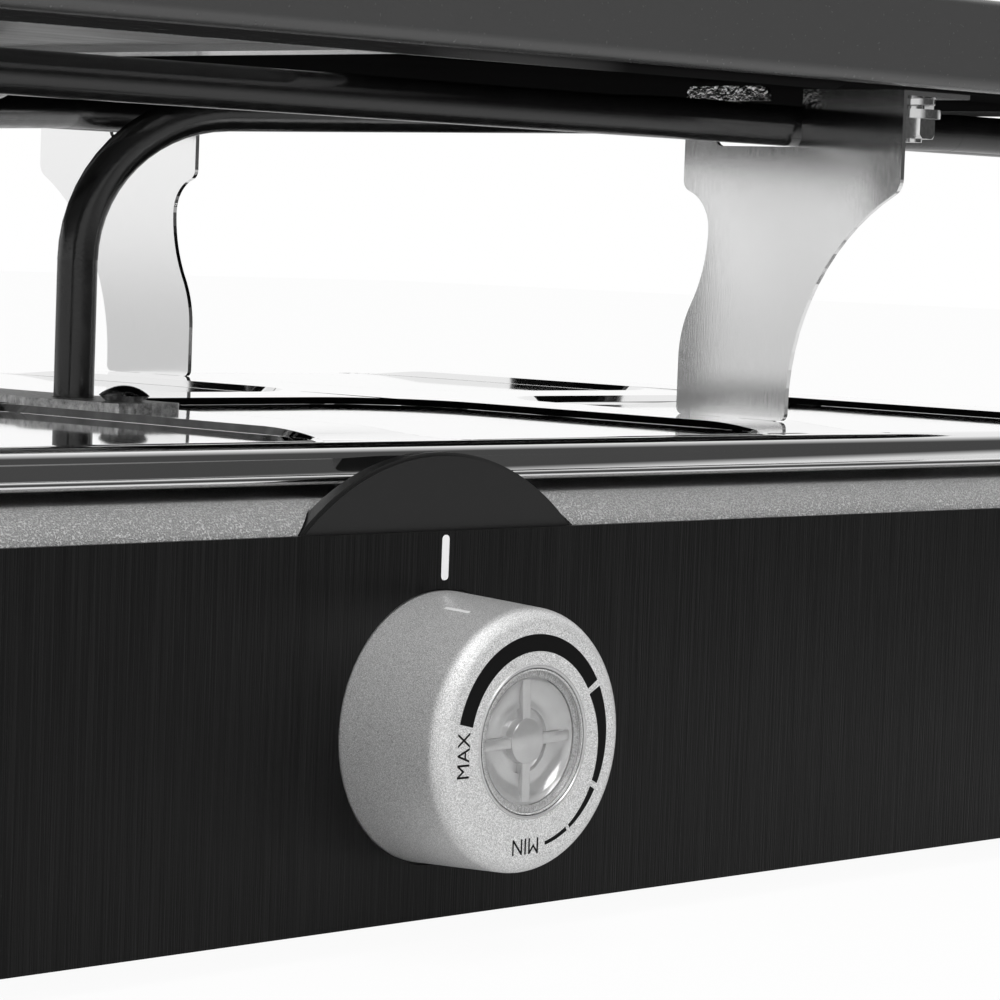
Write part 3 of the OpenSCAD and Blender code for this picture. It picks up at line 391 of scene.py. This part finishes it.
# %% [markdown]
# ## Mirror-polished tray
# The drip tray is pressed from sheet steel and polished to a mirror. It could be left a perfect
# mirror, but that looks drawn. One wide noise clouds it a little, as wiping does, and another
# bends it as thin sheet bends.

# %% Mirror-polished tray
mirror = Finish("mirror_steel", Base_Color=srgb(232), Metallic=1.0, Roughness=0.04)
haze = mirror.noise(60, 60, 60, detail=3)
mirror.put("Roughness", haze * 0.05 + 0.02)
ripple = mirror.noise(25, 25, 25, detail=1)
mirror.relief(ripple, 0.00004)
dress(mirror, "drip_tray")

# %% [markdown]
# ## Satin brackets
# The brackets are stamped from rolled stainless sheet, with a fine grain along the rolling. Their
# upper part is ruffled where the hot element passes. Both could be painted maps, but height and
# depth in the grill already say where the ruffled part lies, so a ramp on each masks it.

# %% Satin brackets
satin = Finish("satin_steel", Base_Color=srgb(240), Metallic=1.0, Roughness=0.12)
drawn = satin.noise(300, 4500, 300, detail=3)
satin.put("Roughness", drawn * 0.1 + 0.07)
dents = satin.noise(520, 520, 520, detail=3, roughness=0.6)
above_slot = satin.ramp(satin.along("Z"), (0.126, 0.0), (0.128, 1.0))
behind_front = satin.ramp(satin.along("Y") + 0.5, (0.412, 0.0), (0.416, 1.0))
satin.relief(dents * (above_slot * behind_front) + drawn * 0.02, 0.0002)
dress(satin, "bracket_front_right", "bracket_front_left", "bracket_back_right", "bracket_back_left",
      "shaft_clip", "cold_pins")

# %% [markdown]
# ## Galvanised sheet
# The clamp strip and the sheets inside the base are zinc-coated steel, with the frosty patches
# that the cooling zinc leaves. A cell pattern would draw each patch with a hard border. On small
# pieces they run into each other, so a fine noise of many layers gives tone and roughness.

# %% Galvanised sheet
zinc = Finish("galvanised_sheet", Base_Color=srgb(165), Metallic=1.0, Roughness=0.45)
frost = zinc.noise(900, 900, 900, detail=4, roughness=0.7)
zinc.put("Base Color", zinc.grey(zinc.ramp(frost, (0.3, 0.0), (0.7, 1.0)), 110, 205))
zinc.put("Roughness", frost * 0.3 + 0.3)
zinc.relief(frost, 0.00002)
dress(zinc, "element_clamp", "clamp_backing_bar", "heat_shield", "bottom_cover")

# %% [markdown]
# ## Plated hardware
# Nuts, washers and screws are plated and tumbled together in a drum, so they are bright with small
# scuffs. The clamp's two screws sit in the heat and have darkened. Scuffs could be modelled as
# nicks, but from this far only their effect on the highlight is seen, so they vary the roughness.

# %% Plated hardware
plated = Finish("plated_hardware", Base_Color=srgb(205), Metallic=1.0, Roughness=0.2)
scuffs = plated.noise(2500, 2500, 2500, detail=3)
plated.put("Roughness", scuffs * 0.16 + 0.06)
dress(plated, "flat_washers", "hex_nuts", "bracket_bolts", "cover_screws", "tray_screws", "tray_standoffs",
      "thermostat_screws")

dark_plated = Finish("dark_plated", Base_Color=srgb(192), Metallic=1.0, Roughness=0.12)
wear = dark_plated.noise(2200, 2200, 2200, detail=2)
dark_plated.put("Roughness", wear * 0.16 + 0.08)
dress(dark_plated, "clamp_screws")

# %% [markdown]
# ## Element tube
# The tube's steel sheath has darkened in the heat to a smooth, slightly glossy black. Paint would
# be one even tone. Heat stain is not, so a blotchy noise moves both the tone and the gloss.

# %% Element tube
sheath = Finish("heated_sheath", Base_Color=srgb(26), Metallic=0.1, Roughness=0.2, Specular_IOR_Level=0.55)
stain = sheath.noise(300, 300, 300, detail=4, roughness=0.65)
sheath.put("Base Color", sheath.grey(stain, 16, 34))
sheath.put("Roughness", stain * 0.22 + 0.1)
sheath.relief(sheath.noise(1500, 1500, 1500, detail=2), 0.00002)
dress(sheath, "heating_element")

# %% [markdown]
# ## Carrier rail
# The rail is rolled steel, bright at its left end and near black, without metal, over the grill
# plate's half, and its outer lip is dark all along. Two materials with an edge between them would
# show a seam, so one finish is blended by the place along X, with a noise that frays the border of
# the dark half.

# %% Carrier rail
rolled = Finish("rail_steel", Base_Color=srgb(210), Metallic=1.0, Roughness=0.12, Specular_IOR_Level=0.0)
# The base colour turns near black and stops being metal from the grill plate's half on, with a frayed
# border.
frayed_x = rolled.noise(20, 20, 20, detail=3) * 0.03 + rolled.along("X")
dark_half = rolled.ramp(frayed_x * 5, (0.02, 0.0), (0.26, 1.0))
lip = rolled.ramp(rolled.along("Y") * -1, (0.105, 0.0), (0.1062, 1.0))
rolled.put("Base Color", rolled.grey(dark_half + lip - dark_half * lip, 222, 24))
rolled.put("Metallic", 1 - dark_half)
streaks = rolled.noise(260, 4200, 4200, detail=3)
rolled.put("Roughness", streaks * 0.14 + 0.05)
rolled.relief(streaks, 0.000012)
dress(rolled, "carrier_rail")

# %% [markdown]
# ## Surround
# The surround has a dark satin paint. Sprayed paint dries with a faint orange-peel. Without it the
# long side would mirror the studio like plastic film, so a low bump breaks the reflection up.

# %% Surround
coat = Finish("surround_paint", Base_Color=srgb(66), Roughness=0.26)
peel = coat.noise(1400, 1400, 1400, detail=2)
coat.put("Roughness", peel * 0.16 + 0.16)
coat.relief(peel, 0.00003)
dress(coat, "plate_surround")

# %% [markdown]
# ## Stone plate
# The left plate is a slab of natural stone, sawn and honed flat, with streaks that run along it.
# A photograph of stone would repeat and stop at the edges. A noise fills the whole slab, so the
# streaks run on over its sides: a stretched one lays them, and a fine one adds the grains.

# %% Stone plate
honed = Finish("honed_stone", Base_Color=srgb(150), Roughness=0.5)
bands = honed.noise(30, 260, 260, detail=5, roughness=0.65)
grains = honed.noise(2500, 2500, 2500, detail=2)
honed.put("Base Color", honed.grey(honed.ramp(bands * 0.8 + grains * 0.2, (0.3, 0.0), (0.7, 1.0)), 118, 188))
honed.put("Roughness", bands * 0.2 + 0.38)
honed.relief(grains, 0.00004)
dress(honed, "stone_plate")

# %% [markdown]
# ## Ribbed plate
# The right plate is cast metal. Its upper side has a dark coating with a fine orange-peel, and its
# underside is bare and near black, with no shine at all. The coat is a clear layer that is there
# above a certain height only, so both sides come from one material.

# %% Ribbed plate
cast = Finish("cast_coating", Base_Color=srgb(58), Roughness=0.42, Specular_IOR_Level=0.0,
              Coat_Roughness=0.35)
orange = cast.noise(1600, 1600, 1600, detail=3)
coated = cast.ramp(cast.along("Z") + orange * 0.002, (0.1365, 0.0), (0.1395, 1.0))
cast.put("Base Color", cast.grey(coated, 8, 58))
cast.put("Coat Weight", coated * 0.3)
cast.put("Roughness", orange * 0.2 + 0.32)
cast.relief(orange, 0.00008)
dress(cast, "grill_plate")

# %% [markdown]
# ## Rubber and gland plastic
# The feet are soft rubber and the cord gland is moulded nylon. Both are near black, and only the
# size of the highlight tells them apart: rubber scatters it wide, nylon keeps it small.

# %% Rubber and gland plastic
rubber = Finish("foot_rubber", Base_Color=srgb(32), Roughness=0.75)
rubber.relief(rubber.noise(2600, 2600, 2600, detail=2), 0.00005)
dress(rubber, "rubber_feet")

gland = Finish("gland_plastic", Base_Color=srgb(28), Roughness=0.4)
gland.relief(gland.noise(4000, 4000, 4000, detail=2), 0.00002)
dress(gland, "cord_gland", "gland_nut")

# %% [markdown]
# ## Parts inside the base
# Unglazed ceramic insulates what carries current, the thermostat's shaft is turned brass, and the
# lamp is a neon bulb. They are seen only where the grill is opened or turned over, so each has
# one small noise: grain on the ceramic, turning marks on the shaft, and unevenness in the glass.

# %% Parts inside the base
bisque = Finish("white_ceramic", Base_Color=srgb(228), Roughness=0.5)
bisque.relief(bisque.noise(3000, 3000, 3000, detail=3), 0.00004)
dress(bisque, "terminal_block", "ceramic_beads", "thermostat_body")

turned = Finish("turned_brass", Base_Color=(0.62, 0.47, 0.2), Metallic=1.0, Roughness=0.25)
turned.relief(turned.noise(800, 9000, 800, detail=2), 0.00001)
dress(turned, "thermostat_shaft")

neon = Finish("lamp_glass", Base_Color=(0.85, 0.3, 0.12), Roughness=0.08, Alpha=0.75)
neon.put("Roughness", neon.noise(1500, 1500, 1500) * 0.1 + 0.05)
dress(neon, "pilot_lamp")

# %% [markdown]
# ## The knob
# Silver paint is clear lacquer over tiny metal flakes. Each flake lies at its own tilt, so the
# paint sparkles grain by grain. A plain metal would look turned from solid, so the tone and the
# tilt both follow one fine noise, under a thin clear coat.

# %% Knob paint
silver = Finish("silver_paint", Base_Color=srgb(214), Metallic=0.35, Roughness=0.36, Coat_Weight=0.3,
                Coat_Roughness=0.12)
flake = silver.noise(8200, 8200, 8200, detail=1)
glint = silver.ramp(flake, (0.36, 0.0), (0.66, 1.0))
silver.put("Base Color", silver.grey(glint, 166, 246))
silver.put("Roughness", flake * 0.2 + 0.28)
silver.relief(flake, 0.00005)
dress(silver, "knob_shell")

# %% [markdown]
# ## Ring and light guide
# The window's ring is grey plastic with a metal sheen. The moulding behind the window is milky, so
# that it spreads the lamp's light. Real milky plastic could be given depth with scattering, which
# is slow and noisy, and a pale clear-coated surface looks the same from this far.

# %% Ring and light guide
ring_grey = Finish("ring_plastic", Base_Color=srgb(190), Metallic=0.5, Roughness=0.22)
ring_grey.put("Roughness", ring_grey.noise(1800, 1800, 1800) * 0.16 + 0.14)

milky = Finish("milky_guide", Base_Color=srgb(228), Metallic=0.35, Roughness=0.12, Coat_Weight=0.6,
               Coat_Roughness=0.03)
milky.put("Roughness", milky.noise(900, 900, 900) * 0.15 + 0.08)
milky.put("Base Color", milky.grey(milky.noise(260, 260, 260, detail=2), 205, 240))
print("made", ring_grey.material.name, "and", milky.material.name)

# %% [markdown]
# ## Tools for new pieces
# A new piece starts as a primitive and is shaped in edit mode, as by hand. An operator acts on
# all that is selected, so each helper clears the selection first. A person clicks on edges and
# faces. A script picks them by their place or normal, which holds when the count of faces changes.

# %% Tools for new pieces
def start(add, **settings):
    """Adds a primitive at its place and returns it, alone selected."""
    if bpy.context.object and bpy.context.object.mode != "OBJECT":
        bpy.ops.object.mode_set(mode="OBJECT")
    bpy.ops.object.select_all(action="DESELECT")
    add(**settings)
    bpy.ops.object.transform_apply(location=True, rotation=True, scale=True)
    return bpy.context.object


def only(piece):
    """Leaves edit mode, with this piece active and alone selected."""
    if bpy.context.object and bpy.context.object.mode != "OBJECT":
        bpy.ops.object.mode_set(mode="OBJECT")
    bpy.ops.object.select_all(action="DESELECT")
    piece.select_set(True)
    bpy.context.view_layer.objects.active = piece


def choose(piece, kind, test):
    """Selects edges by their two ends, or faces by middle and normal, and stays in edit mode."""
    only(piece)
    bpy.ops.object.mode_set(mode="EDIT")
    bpy.ops.mesh.select_mode(type={"edges": "EDGE", "polygons": "FACE"}[kind])
    bpy.ops.mesh.select_all(action="DESELECT")
    bpy.ops.object.mode_set(mode="OBJECT")
    mesh = piece.data
    for item in getattr(mesh, kind):
        ends = [mesh.vertices[v].co for v in item.vertices[:2]]
        item.select = test(*ends) if kind == "edges" else test(item.center, item.normal)
    bpy.ops.object.mode_set(mode="EDIT")


# %% [markdown]
# ## Tools for finishing a piece
# A modifier is applied as soon as it is added, so that the next step works on real faces. A
# finished piece gets its name and its finish, and is tied to the body that carries it, so that it
# moves with the knob or stays with the base at every pose.

# %% Tools for finishing a piece
def modify(piece, kind, **settings):
    """Adds a modifier, applies it and returns to the piece."""
    only(piece)
    added = piece.modifiers.new(kind.lower(), kind)
    for name, value in settings.items():
        setattr(added, name, value)
    bpy.ops.object.modifier_apply(modifier=added.name)


def settle(piece, name, finish, body, smooth=None):
    """Names a finished piece, gives it its finish, and ties it to the body that carries it."""
    only(piece)
    if smooth:
        bpy.ops.object.shade_smooth_by_angle(angle=math.radians(smooth))
    piece.name = piece.data.name = name
    piece.data.materials.clear()
    piece.data.materials.append(finish.material)
    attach(piece, body)
    print(name, "faces:", len(piece.data.polygons))
    return piece


# %% [markdown]
# ## Turned pieces
# Rings, washers and the knob's inner parts are round, as if turned on a lathe: one row of points is
# spun round an axis. The Spin tool turns against the right-hand rule, so its angle is negated,
# and it can turn a shape inside out, so doubles are merged and normals recalculated.

# %% Turned pieces
def spun(profile, centre, axis, side, steps=96, angle=math.tau):
    """Spins a row of points, each (distance out, distance along) in mm, by the right-hand rule."""
    piece = start(bpy.ops.mesh.primitive_circle_add, vertices=3, radius=0.001, fill_type="NOTHING")
    mesh = piece.data
    mesh.clear_geometry()
    mesh.vertices.add(len(profile))
    for corner, (out, along) in zip(mesh.vertices, profile):
        corner.co = centre + side * out * MM + axis * along * MM
    mesh.edges.add(len(profile) - 1)
    for index, edge in enumerate(mesh.edges):
        edge.vertices = (index, index + 1)
    mesh.update()
    choose(piece, "edges", lambda a, b: True)
    bpy.ops.mesh.spin(steps=steps, angle=-angle, center=centre, axis=axis)
    bpy.ops.mesh.select_all(action="SELECT")
    bpy.ops.mesh.remove_doubles(threshold=1e-6)
    bpy.ops.mesh.normals_make_consistent(inside=False)
    bpy.ops.object.mode_set(mode="OBJECT")
    return piece


# %% [markdown]
# ## Closed ends, copies and joins
# A bar that is spun less than a full turn is open at both ends, and open ends show as holes. What
# repeats on the grill is made once and copied. A copy could share its mesh, but each piece here
# needs its place in a mesh of its own. Pieces that the maker fits as one set are joined.

# %% Closed ends, copies and joins
def close_ends(piece, sides):
    """Fills the open ends, each with at most so many sides, and turns all faces outwards."""
    only(piece)
    bpy.ops.object.mode_set(mode="EDIT")
    bpy.ops.mesh.select_all(action="SELECT")
    bpy.ops.mesh.fill_holes(sides=sides)
    bpy.ops.mesh.normals_make_consistent(inside=False)
    bpy.ops.object.mode_set(mode="OBJECT")


def copied(piece, move):
    """A copy with its own mesh, its place taken into the mesh."""
    twin = bpy.data.objects.new(piece.name, piece.data.copy())
    scene.collection.objects.link(twin)
    twin.data.transform(move)
    return twin


def joined(pieces):
    """Several pieces as one."""
    only(pieces[0])
    for piece in pieces:
        piece.select_set(True)
    bpy.ops.object.join()
    return bpy.context.object


# %% [markdown]
# ## The tray, with lands that run out
# The tray is pressed from one sheet, and towards its long edges the raised lands fall away to the
# level of the bays, so that the rim stays straight. It could be modelled anew, but a copy of the
# solid's mesh already has every edge in its place. The copy is cut into rows across each land's
# end, and every corner above the bay floor is then lowered by a smooth share of its height.

# %% The tray, with lands that run out
tray_low, tray_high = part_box("drip_tray")
tray_middle = (tray_low + tray_high) / 2
land_rise, land_edge, land_corner = 1.2, 4.0, 22.0
bay_floor = tray_high.z - land_rise * MM
fall_from, fall_length, fall_rows, share_lost, a_hair = 84.0, 18.2, 8, 0.97, 0.01


def run_out(piece):
    """Cuts a piece into rows near the long edges and lets the lands fall there."""
    only(piece)
    bpy.ops.object.mode_set(mode="EDIT")
    for side_y in (-1, 1):
        for row in range(fall_rows + 1):
            y = tray_middle.y + side_y * (fall_from + fall_length * row / fall_rows) * MM
            bpy.ops.mesh.select_all(action="SELECT")
            bpy.ops.mesh.bisect(plane_co=(0, y, 0), plane_no=(0, 1, 0))
    bpy.ops.object.mode_set(mode="OBJECT")
    for corner in piece.data.vertices:
        if corner.co.z > bay_floor + a_hair * MM:
            past = min(1, max(0, (abs(corner.co.y - tray_middle.y) / MM - fall_from) / fall_length))
            left = 1 - share_lost * past * past * (3 - 2 * past)
            corner.co.z = bay_floor + (corner.co.z - bay_floor) * left


pressed = bpy.data.objects.new("pressed_tray", nodes["drip_tray"].data.copy())
scene.collection.objects.link(pressed)
only(pressed)
bpy.ops.object.mode_set(mode="EDIT")
bpy.ops.mesh.select_all(action="SELECT")
bpy.ops.mesh.remove_doubles(threshold=1e-7)
bpy.ops.object.mode_set(mode="OBJECT")
run_out(pressed)
settle(pressed, "pressed_tray", mirror, "base", smooth=20)
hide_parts("drip_tray")

# %% [markdown]
# ## Sloped sides of the lands
# A press can't leave a square step in sheet steel: the side of each raised land leans outwards,
# so it mirrors the dark underside of the hot plates and draws a black band along the land. The
# slope could be laid face by face round every bay. Here the bays are cut out of one slab instead,
# its top edge is bevelled at 45 degrees down to the bay floor, and only that bevel is kept.

# %% A slab with the bays cut out
bay_x_ranges, bay_inner_y, bay_far_y, bay_corner = ((9.5, 92.0), (112.0, 193.0)), 9.0, 109.2, 20.0
arc_segments = 12
reach = Vector((tray_high.x - tray_low.x, tray_high.y - tray_low.y)) / MM
skirt = start(bpy.ops.mesh.primitive_cube_add, size=MM,
              location=(0, tray_middle.y, tray_high.z - land_rise / 2 * MM),
              scale=(reach.x - 2 * (land_edge - land_rise), reach.y - 2 * (land_edge - land_rise),
                     land_rise))
choose(skirt, "edges", lambda a, b: abs(a.z - b.z) > 0.5 * MM)
bpy.ops.mesh.bevel(offset=(land_corner + land_rise) * MM, segments=arc_segments)
for inner_x, outer_x in bay_x_ranges:
    for side_x in (-1, 1):
        for side_y in (-1, 1):
            bay = start(bpy.ops.mesh.primitive_cube_add, size=MM,
                        location=(side_x * (inner_x + outer_x) / 2 * MM,
                                  tray_middle.y + side_y * (bay_inner_y + bay_far_y) / 2 * MM, tray_high.z),
                        scale=(outer_x - inner_x - 2 * land_rise,
                               bay_far_y - bay_inner_y - 2 * land_rise, 10))
            choose(bay, "edges", lambda a, b: abs(a.z - b.z) > 5 * MM)
            bpy.ops.mesh.bevel(offset=(bay_corner - land_rise) * MM, segments=arc_segments)
            modify(skirt, "BOOLEAN", operation="DIFFERENCE", object=bay, solver="EXACT")
            bpy.data.objects.remove(bay)
print("slab faces:", len(skirt.data.polygons))

# %% [markdown]
# ## From the slab to the skirt
# The bevel takes all but a trace of the slab's height, so that no face is left without size. Level
# and upright faces are then deleted, which leaves the slope as a single sheet, and Solidify gives
# it a wall. It falls away towards the tray's long edges in the same way as the lands do.

# %% From the slab to the skirt
skirt_sheet, bevel_share = 0.12, 0.96
top = tray_high.z - a_hair * MM
choose(skirt, "edges", lambda a, b: min(a.z, b.z) > top)
bpy.ops.mesh.bevel(offset=bevel_share * land_rise * MM, segments=1, clamp_overlap=False)
choose(skirt, "polygons", lambda middle, normal: abs(normal.z) > 0.97 or abs(normal.z) < 0.2)
bpy.ops.mesh.delete(type="FACE")
modify(skirt, "SOLIDIFY", thickness=skirt_sheet * MM, offset=-1)
run_out(skirt)
settle(skirt, "land_skirt", mirror, "base", smooth=25)

# %% [markdown]
# ## Split washers
# Each bolt has a spring washer: a ring that is cut through once, its two ends pushed apart in
# height. It is coiled from bar and cut off. A full ring with a slot would have its ends level, so
# here a bar is spun almost full circle, and every corner is then lifted by its angle. The washer
# is made once, and each bolt gets a copy with its split turned its own way.

# %% Split washers
washer_low, washer_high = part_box("spring_washers")
split_r, split_in, lift, turned_through = 4.0, 2.3, 0.75, math.radians(338)
thick = (washer_high.z - washer_low.z) / MM - lift
bar = [(split_in, 0.12), (split_in, thick - 0.12), (split_in + 0.12, thick), (split_r - 0.15, thick),
       (split_r, thick - 0.15), (split_r, 0.15), (split_r - 0.15, 0), (split_in + 0.12, 0), (split_in, 0.12)]
coil = spun(bar, Vector(), Vector((0, 0, 1)), Vector((1, 0, 0)), steps=40, angle=turned_through)
for corner in coil.data.vertices:
    around = math.atan2(corner.co.y, corner.co.x) % math.tau
    corner.co.z += lift * MM * min(1, around / turned_through) * (around < 6.2)
close_ends(coil, sides=12)

washers = []
for side_x in (-1, 1):
    for y, turn_to in ((washer_low.y + split_r * MM, -0.55), (washer_high.y - split_r * MM, 2.2)):
        foot = Vector((side_x * (washer_high.x - split_r * MM), y, washer_low.z))
        washers.append(copied(coil, Matrix.Translation(foot) @ Matrix.Rotation(turn_to, 4, "Z")))
bpy.data.objects.remove(coil)
split_washers = settle(joined(washers), "split_washers", plated, "base", smooth=30)
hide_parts("spring_washers")

# %% [markdown]
# ## Dial marks on the knob
# The face is printed with one scale that tapers as the heat goes down: a thick band from MAX over
# the top, then three thinner dashes down to MIN. It could be a picture on the face, which turns
# soft up close. As thin raised pieces the marks stay crisp at any distance: each dash is a flat bar
# spun round the knob's axis and narrowed towards its end.

# %% Dial marks on the knob
ink = Finish("printed_ink", Base_Color=srgb(6), Roughness=0.4, Specular_IOR_Level=0.1)
ink.put("Roughness", ink.noise(6000, 6000, 6000) * 0.2 + 0.28)
knob_centre = Vector((knob_axis_x, knob_face_y, knob_axis_z))
ahead = Vector((0, -1, 0))
mark_r, print_thick, bar_wide = 15.65, 0.02, 0.3
marks = []


def on_face(degrees):
    """The direction on the knob's face, seen from the front, at an angle from the right."""
    return Vector((math.cos(math.radians(degrees)), 0, math.sin(math.radians(degrees))))


for begin, end, wide, narrow in ((167.2, 32, 2.75, 2.3), (28.1, -26.8, 2.4, 1.2),
                                 (-30.4, -57.5, 1.1, 0.58), (-59.9, -77.8, 0.64, 0.54)):
    inner = mark_r - bar_wide
    flat = [(inner, 0), (inner, print_thick), (mark_r, print_thick), (mark_r, 0), (inner, 0)]
    dash = spun(flat, knob_centre, ahead, on_face(begin), steps=max(6, round((begin - end) / 2.5)),
                angle=math.radians(end - begin))
    for corner in dash.data.vertices:
        spoke = corner.co - knob_centre
        if Vector((spoke.x, spoke.z)).length < (mark_r - bar_wide / 2) * MM:
            now = math.degrees(math.atan2(spoke.z, spoke.x))
            share_done = ((begin - now + 5) % 360 - 5) / (begin - end)
            width = wide + (narrow - wide) * share_done
            level = spoke.y
            corner.co = knob_centre + on_face(now) * (mark_r - width) * MM
            corner.co.y += level
    close_ends(dash, sides=6)
    marks.append(dash)
print("dashes:", len(marks))


# %% [markdown]
# ## Words on the dial
# The two words are printed like the scale. Letters could be drawn as bars, but a font has them
# ready. The text is made a mesh first, because only then can its letters be stretched to their
# measured size and laid on the knob's face.

# %% Words on the dial
def word(text, middle, degrees, across, tall):
    """A printed word: its middle on the face in mm, and the way that its letters stand."""
    bpy.ops.object.select_all(action="DESELECT")
    bpy.ops.object.text_add()
    made = bpy.context.object
    made.data.body, made.data.size = text, 0.004
    made.data.align_x, made.data.align_y = "CENTER", "CENTER"
    made.data.extrude = print_thick / 2 * MM
    bpy.ops.object.convert(target="MESH")
    made = bpy.context.object
    flat = [(v.co.x, v.co.y) for v in made.data.vertices]
    spans = [(min(c), max(c)) for c in zip(*flat)]
    for corner in made.data.vertices:
        x, y = [(c - (low + high) / 2) / (high - low) for c, (low, high) in zip(corner.co, spans)]
        height = corner.co.z
        up_way, along_way = on_face(degrees), on_face(degrees - 90)
        corner.co = knob_centre + (middle[0] * Vector((1, 0, 0)) + middle[1] * Vector((0, 0, 1))
                                   + x * across * along_way + y * tall * up_way) * MM
        corner.co += ahead * (height + print_thick / 2 * MM)
    return made


marks.append(word("MAX", (-14.3, -1.05), 180, 6.6, 2.45))
marks.append(word("MIN", (-0.85, -15.2), 270, 5.4, 2.3))
settle(joined(marks), "dial_marks", ink, "knob")

# %% [markdown]
# ## Window ring
# The window sits in a moulded ring with a step. A torus would be a start, but the step and the
# flat lip need their own points, so the cross-section is a closed row of points beside the
# knob's axis, spun all the way round.

# %% Window ring
ring = spun([(11.3, 0.0), (11.2, 0.14), (11.05, 0.18), (10.9, 0.14), (10.5, -0.25), (10.33, -0.28),
             (10.33, -0.5), (10.42, -0.5), (10.42, -0.1), (10.6, 0.0), (11.3, 0.0)],
            knob_centre, ahead, Vector((1, 0, 0)))
settle(ring, "window_ring", ring_grey, "knob", smooth=40)

# %% [markdown]
# ## Light guide
# Behind the window stands a milky moulding: a hub that holds the shaft, a collar round it and
# four ribs out to the rim. They carry the lamp's light, and are what one sees through the window.
# The round part is spun. A rib is a block with rounded edges, made once and copied to the four
# quarters, and each copy is united with the round part so that the moulding stays one piece.

# %% Light guide
guide_low, guide_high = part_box("light_guide")
shaft_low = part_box("thermostat_shaft")[0]
foot_at = (knob_face_y - guide_high.y) / MM
shaft_at = (knob_face_y - shaft_low.y) / MM
rim_r = (guide_high.x - guide_low.x) / 2 / MM - 0.05
moulding = spun([(0, -1.1), (2.9, -1.12), (3.3, -1.3), (3.45, -2.5), (4.7, -2.6), (4.85, -2.1), (5.3, -2.1),
                 (5.7, -2.2), (7.2, -2.1), (8.6, -1.7), (9.2, -1.2), (9.3, -1.1), (9.3, -3.0), (4.6, -3.6),
                 (4.4, foot_at), (3.2, foot_at), (3.1, shaft_at - 0.3), (0, shaft_at - 0.2)],
                knob_centre, ahead, Vector((1, 0, 0)), steps=64)
rib_out, rib_deep, rib_size, rib_turn = 6.1, 2.1, (6.2, 1.3, 1.7), 2
rib = start(bpy.ops.mesh.primitive_cube_add, size=MM, location=(rib_out * MM, rib_deep * MM, 0),
            scale=rib_size)
choose(rib, "edges", lambda a, b: True)
bpy.ops.mesh.bevel(offset=0.2 * MM, segments=2)
only(rib)
for quarter in range(4):
    turn = Matrix.Rotation(-math.radians(90 * quarter + rib_turn), 4, "Y")
    branch = copied(rib, Matrix.Translation(knob_centre) @ turn)
    modify(moulding, "BOOLEAN", operation="UNION", object=branch, solver="EXACT")
    bpy.data.objects.remove(branch)
bpy.data.objects.remove(rib)
guide_piece = settle(moulding, "light_guide_moulding", milky, "knob", smooth=35)
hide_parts("light_guide")

# %% [markdown]
# ## Window
# A thin clear lens closes the knob's face, slightly hollow in the middle, with a raised bead near
# its rim. A flat disc would mirror the lamps as one even patch. The spun hollow bends them.

# %% Window
glass = Finish("window_glass", Base_Color=srgb(240), Roughness=0.02, Transmission_Weight=1.0, IOR=1.3)
glass.put("Roughness", glass.noise(700, 700, 700) * 0.05 + 0.005)
window = spun([(0, -0.35), (3, -0.37), (6, -0.43), (8.4, -0.52), (9.3, -0.62), (9.55, -0.42),
               (9.85, -0.3), (10.1, -0.36), (rim_r, -0.52), (rim_r, -0.95), (0, -0.95)],
              knob_centre, ahead, Vector((1, 0, 0)))
settle(window, "window_glass", glass, "knob", smooth=30)

# %% [markdown]
# ## Pointer lines
# A white line is printed on the panel above the knob, and a short one on the knob's own side. Each
# is one thin bar laid between two points on its surface, its corners rounded by a bevel. Drawn in
# the panel's material it would need a mask of its own, and it could not move with the knob.

# %% Pointer lines
paint = Finish("white_print", Base_Color=srgb(240), Roughness=0.4)
paint.put("Roughness", paint.noise(5000, 5000, 5000) * 0.2 + 0.3)
line_above = 0.012


def line(name, low, high, width, body, away):
    """A thin bar with rounded ends from one point to another, lying on a surface."""
    along = high - low
    bar = start(bpy.ops.mesh.primitive_cube_add, size=1)
    cross = along.normalized().cross(away)
    for corner in bar.data.vertices:
        x, y, z = corner.co
        lift_off = away * (y * print_thick * MM + line_above * MM)
        corner.co = (low + high) / 2 + along * z + cross * x * width + lift_off
    choose(bar, "edges", lambda a, b: (a - b).length < 0.05 * MM)
    bpy.ops.mesh.bevel(offset=width * 0.42, segments=4)
    settle(bar, name, paint, body)


panel_face, pointer_x = panel_low.y, 0.1 * MM
line("panel_pointer", Vector((pointer_x, panel_face, knob_axis_z + 21.8 * MM)),
     Vector((pointer_x, panel_face, knob_axis_z + 28.5 * MM)), 1.5 * MM, "base", ahead)
slant = Vector((-0.345, 0, 0.938)).normalized()
on_side = [Vector((0, y * MM, knob_axis_z)) + slant * out * MM
           for y, out in ((-115.3, 19.87), (-120.3, 19.63))]
line("knob_pointer", *on_side, 0.7 * MM, "knob", slant)
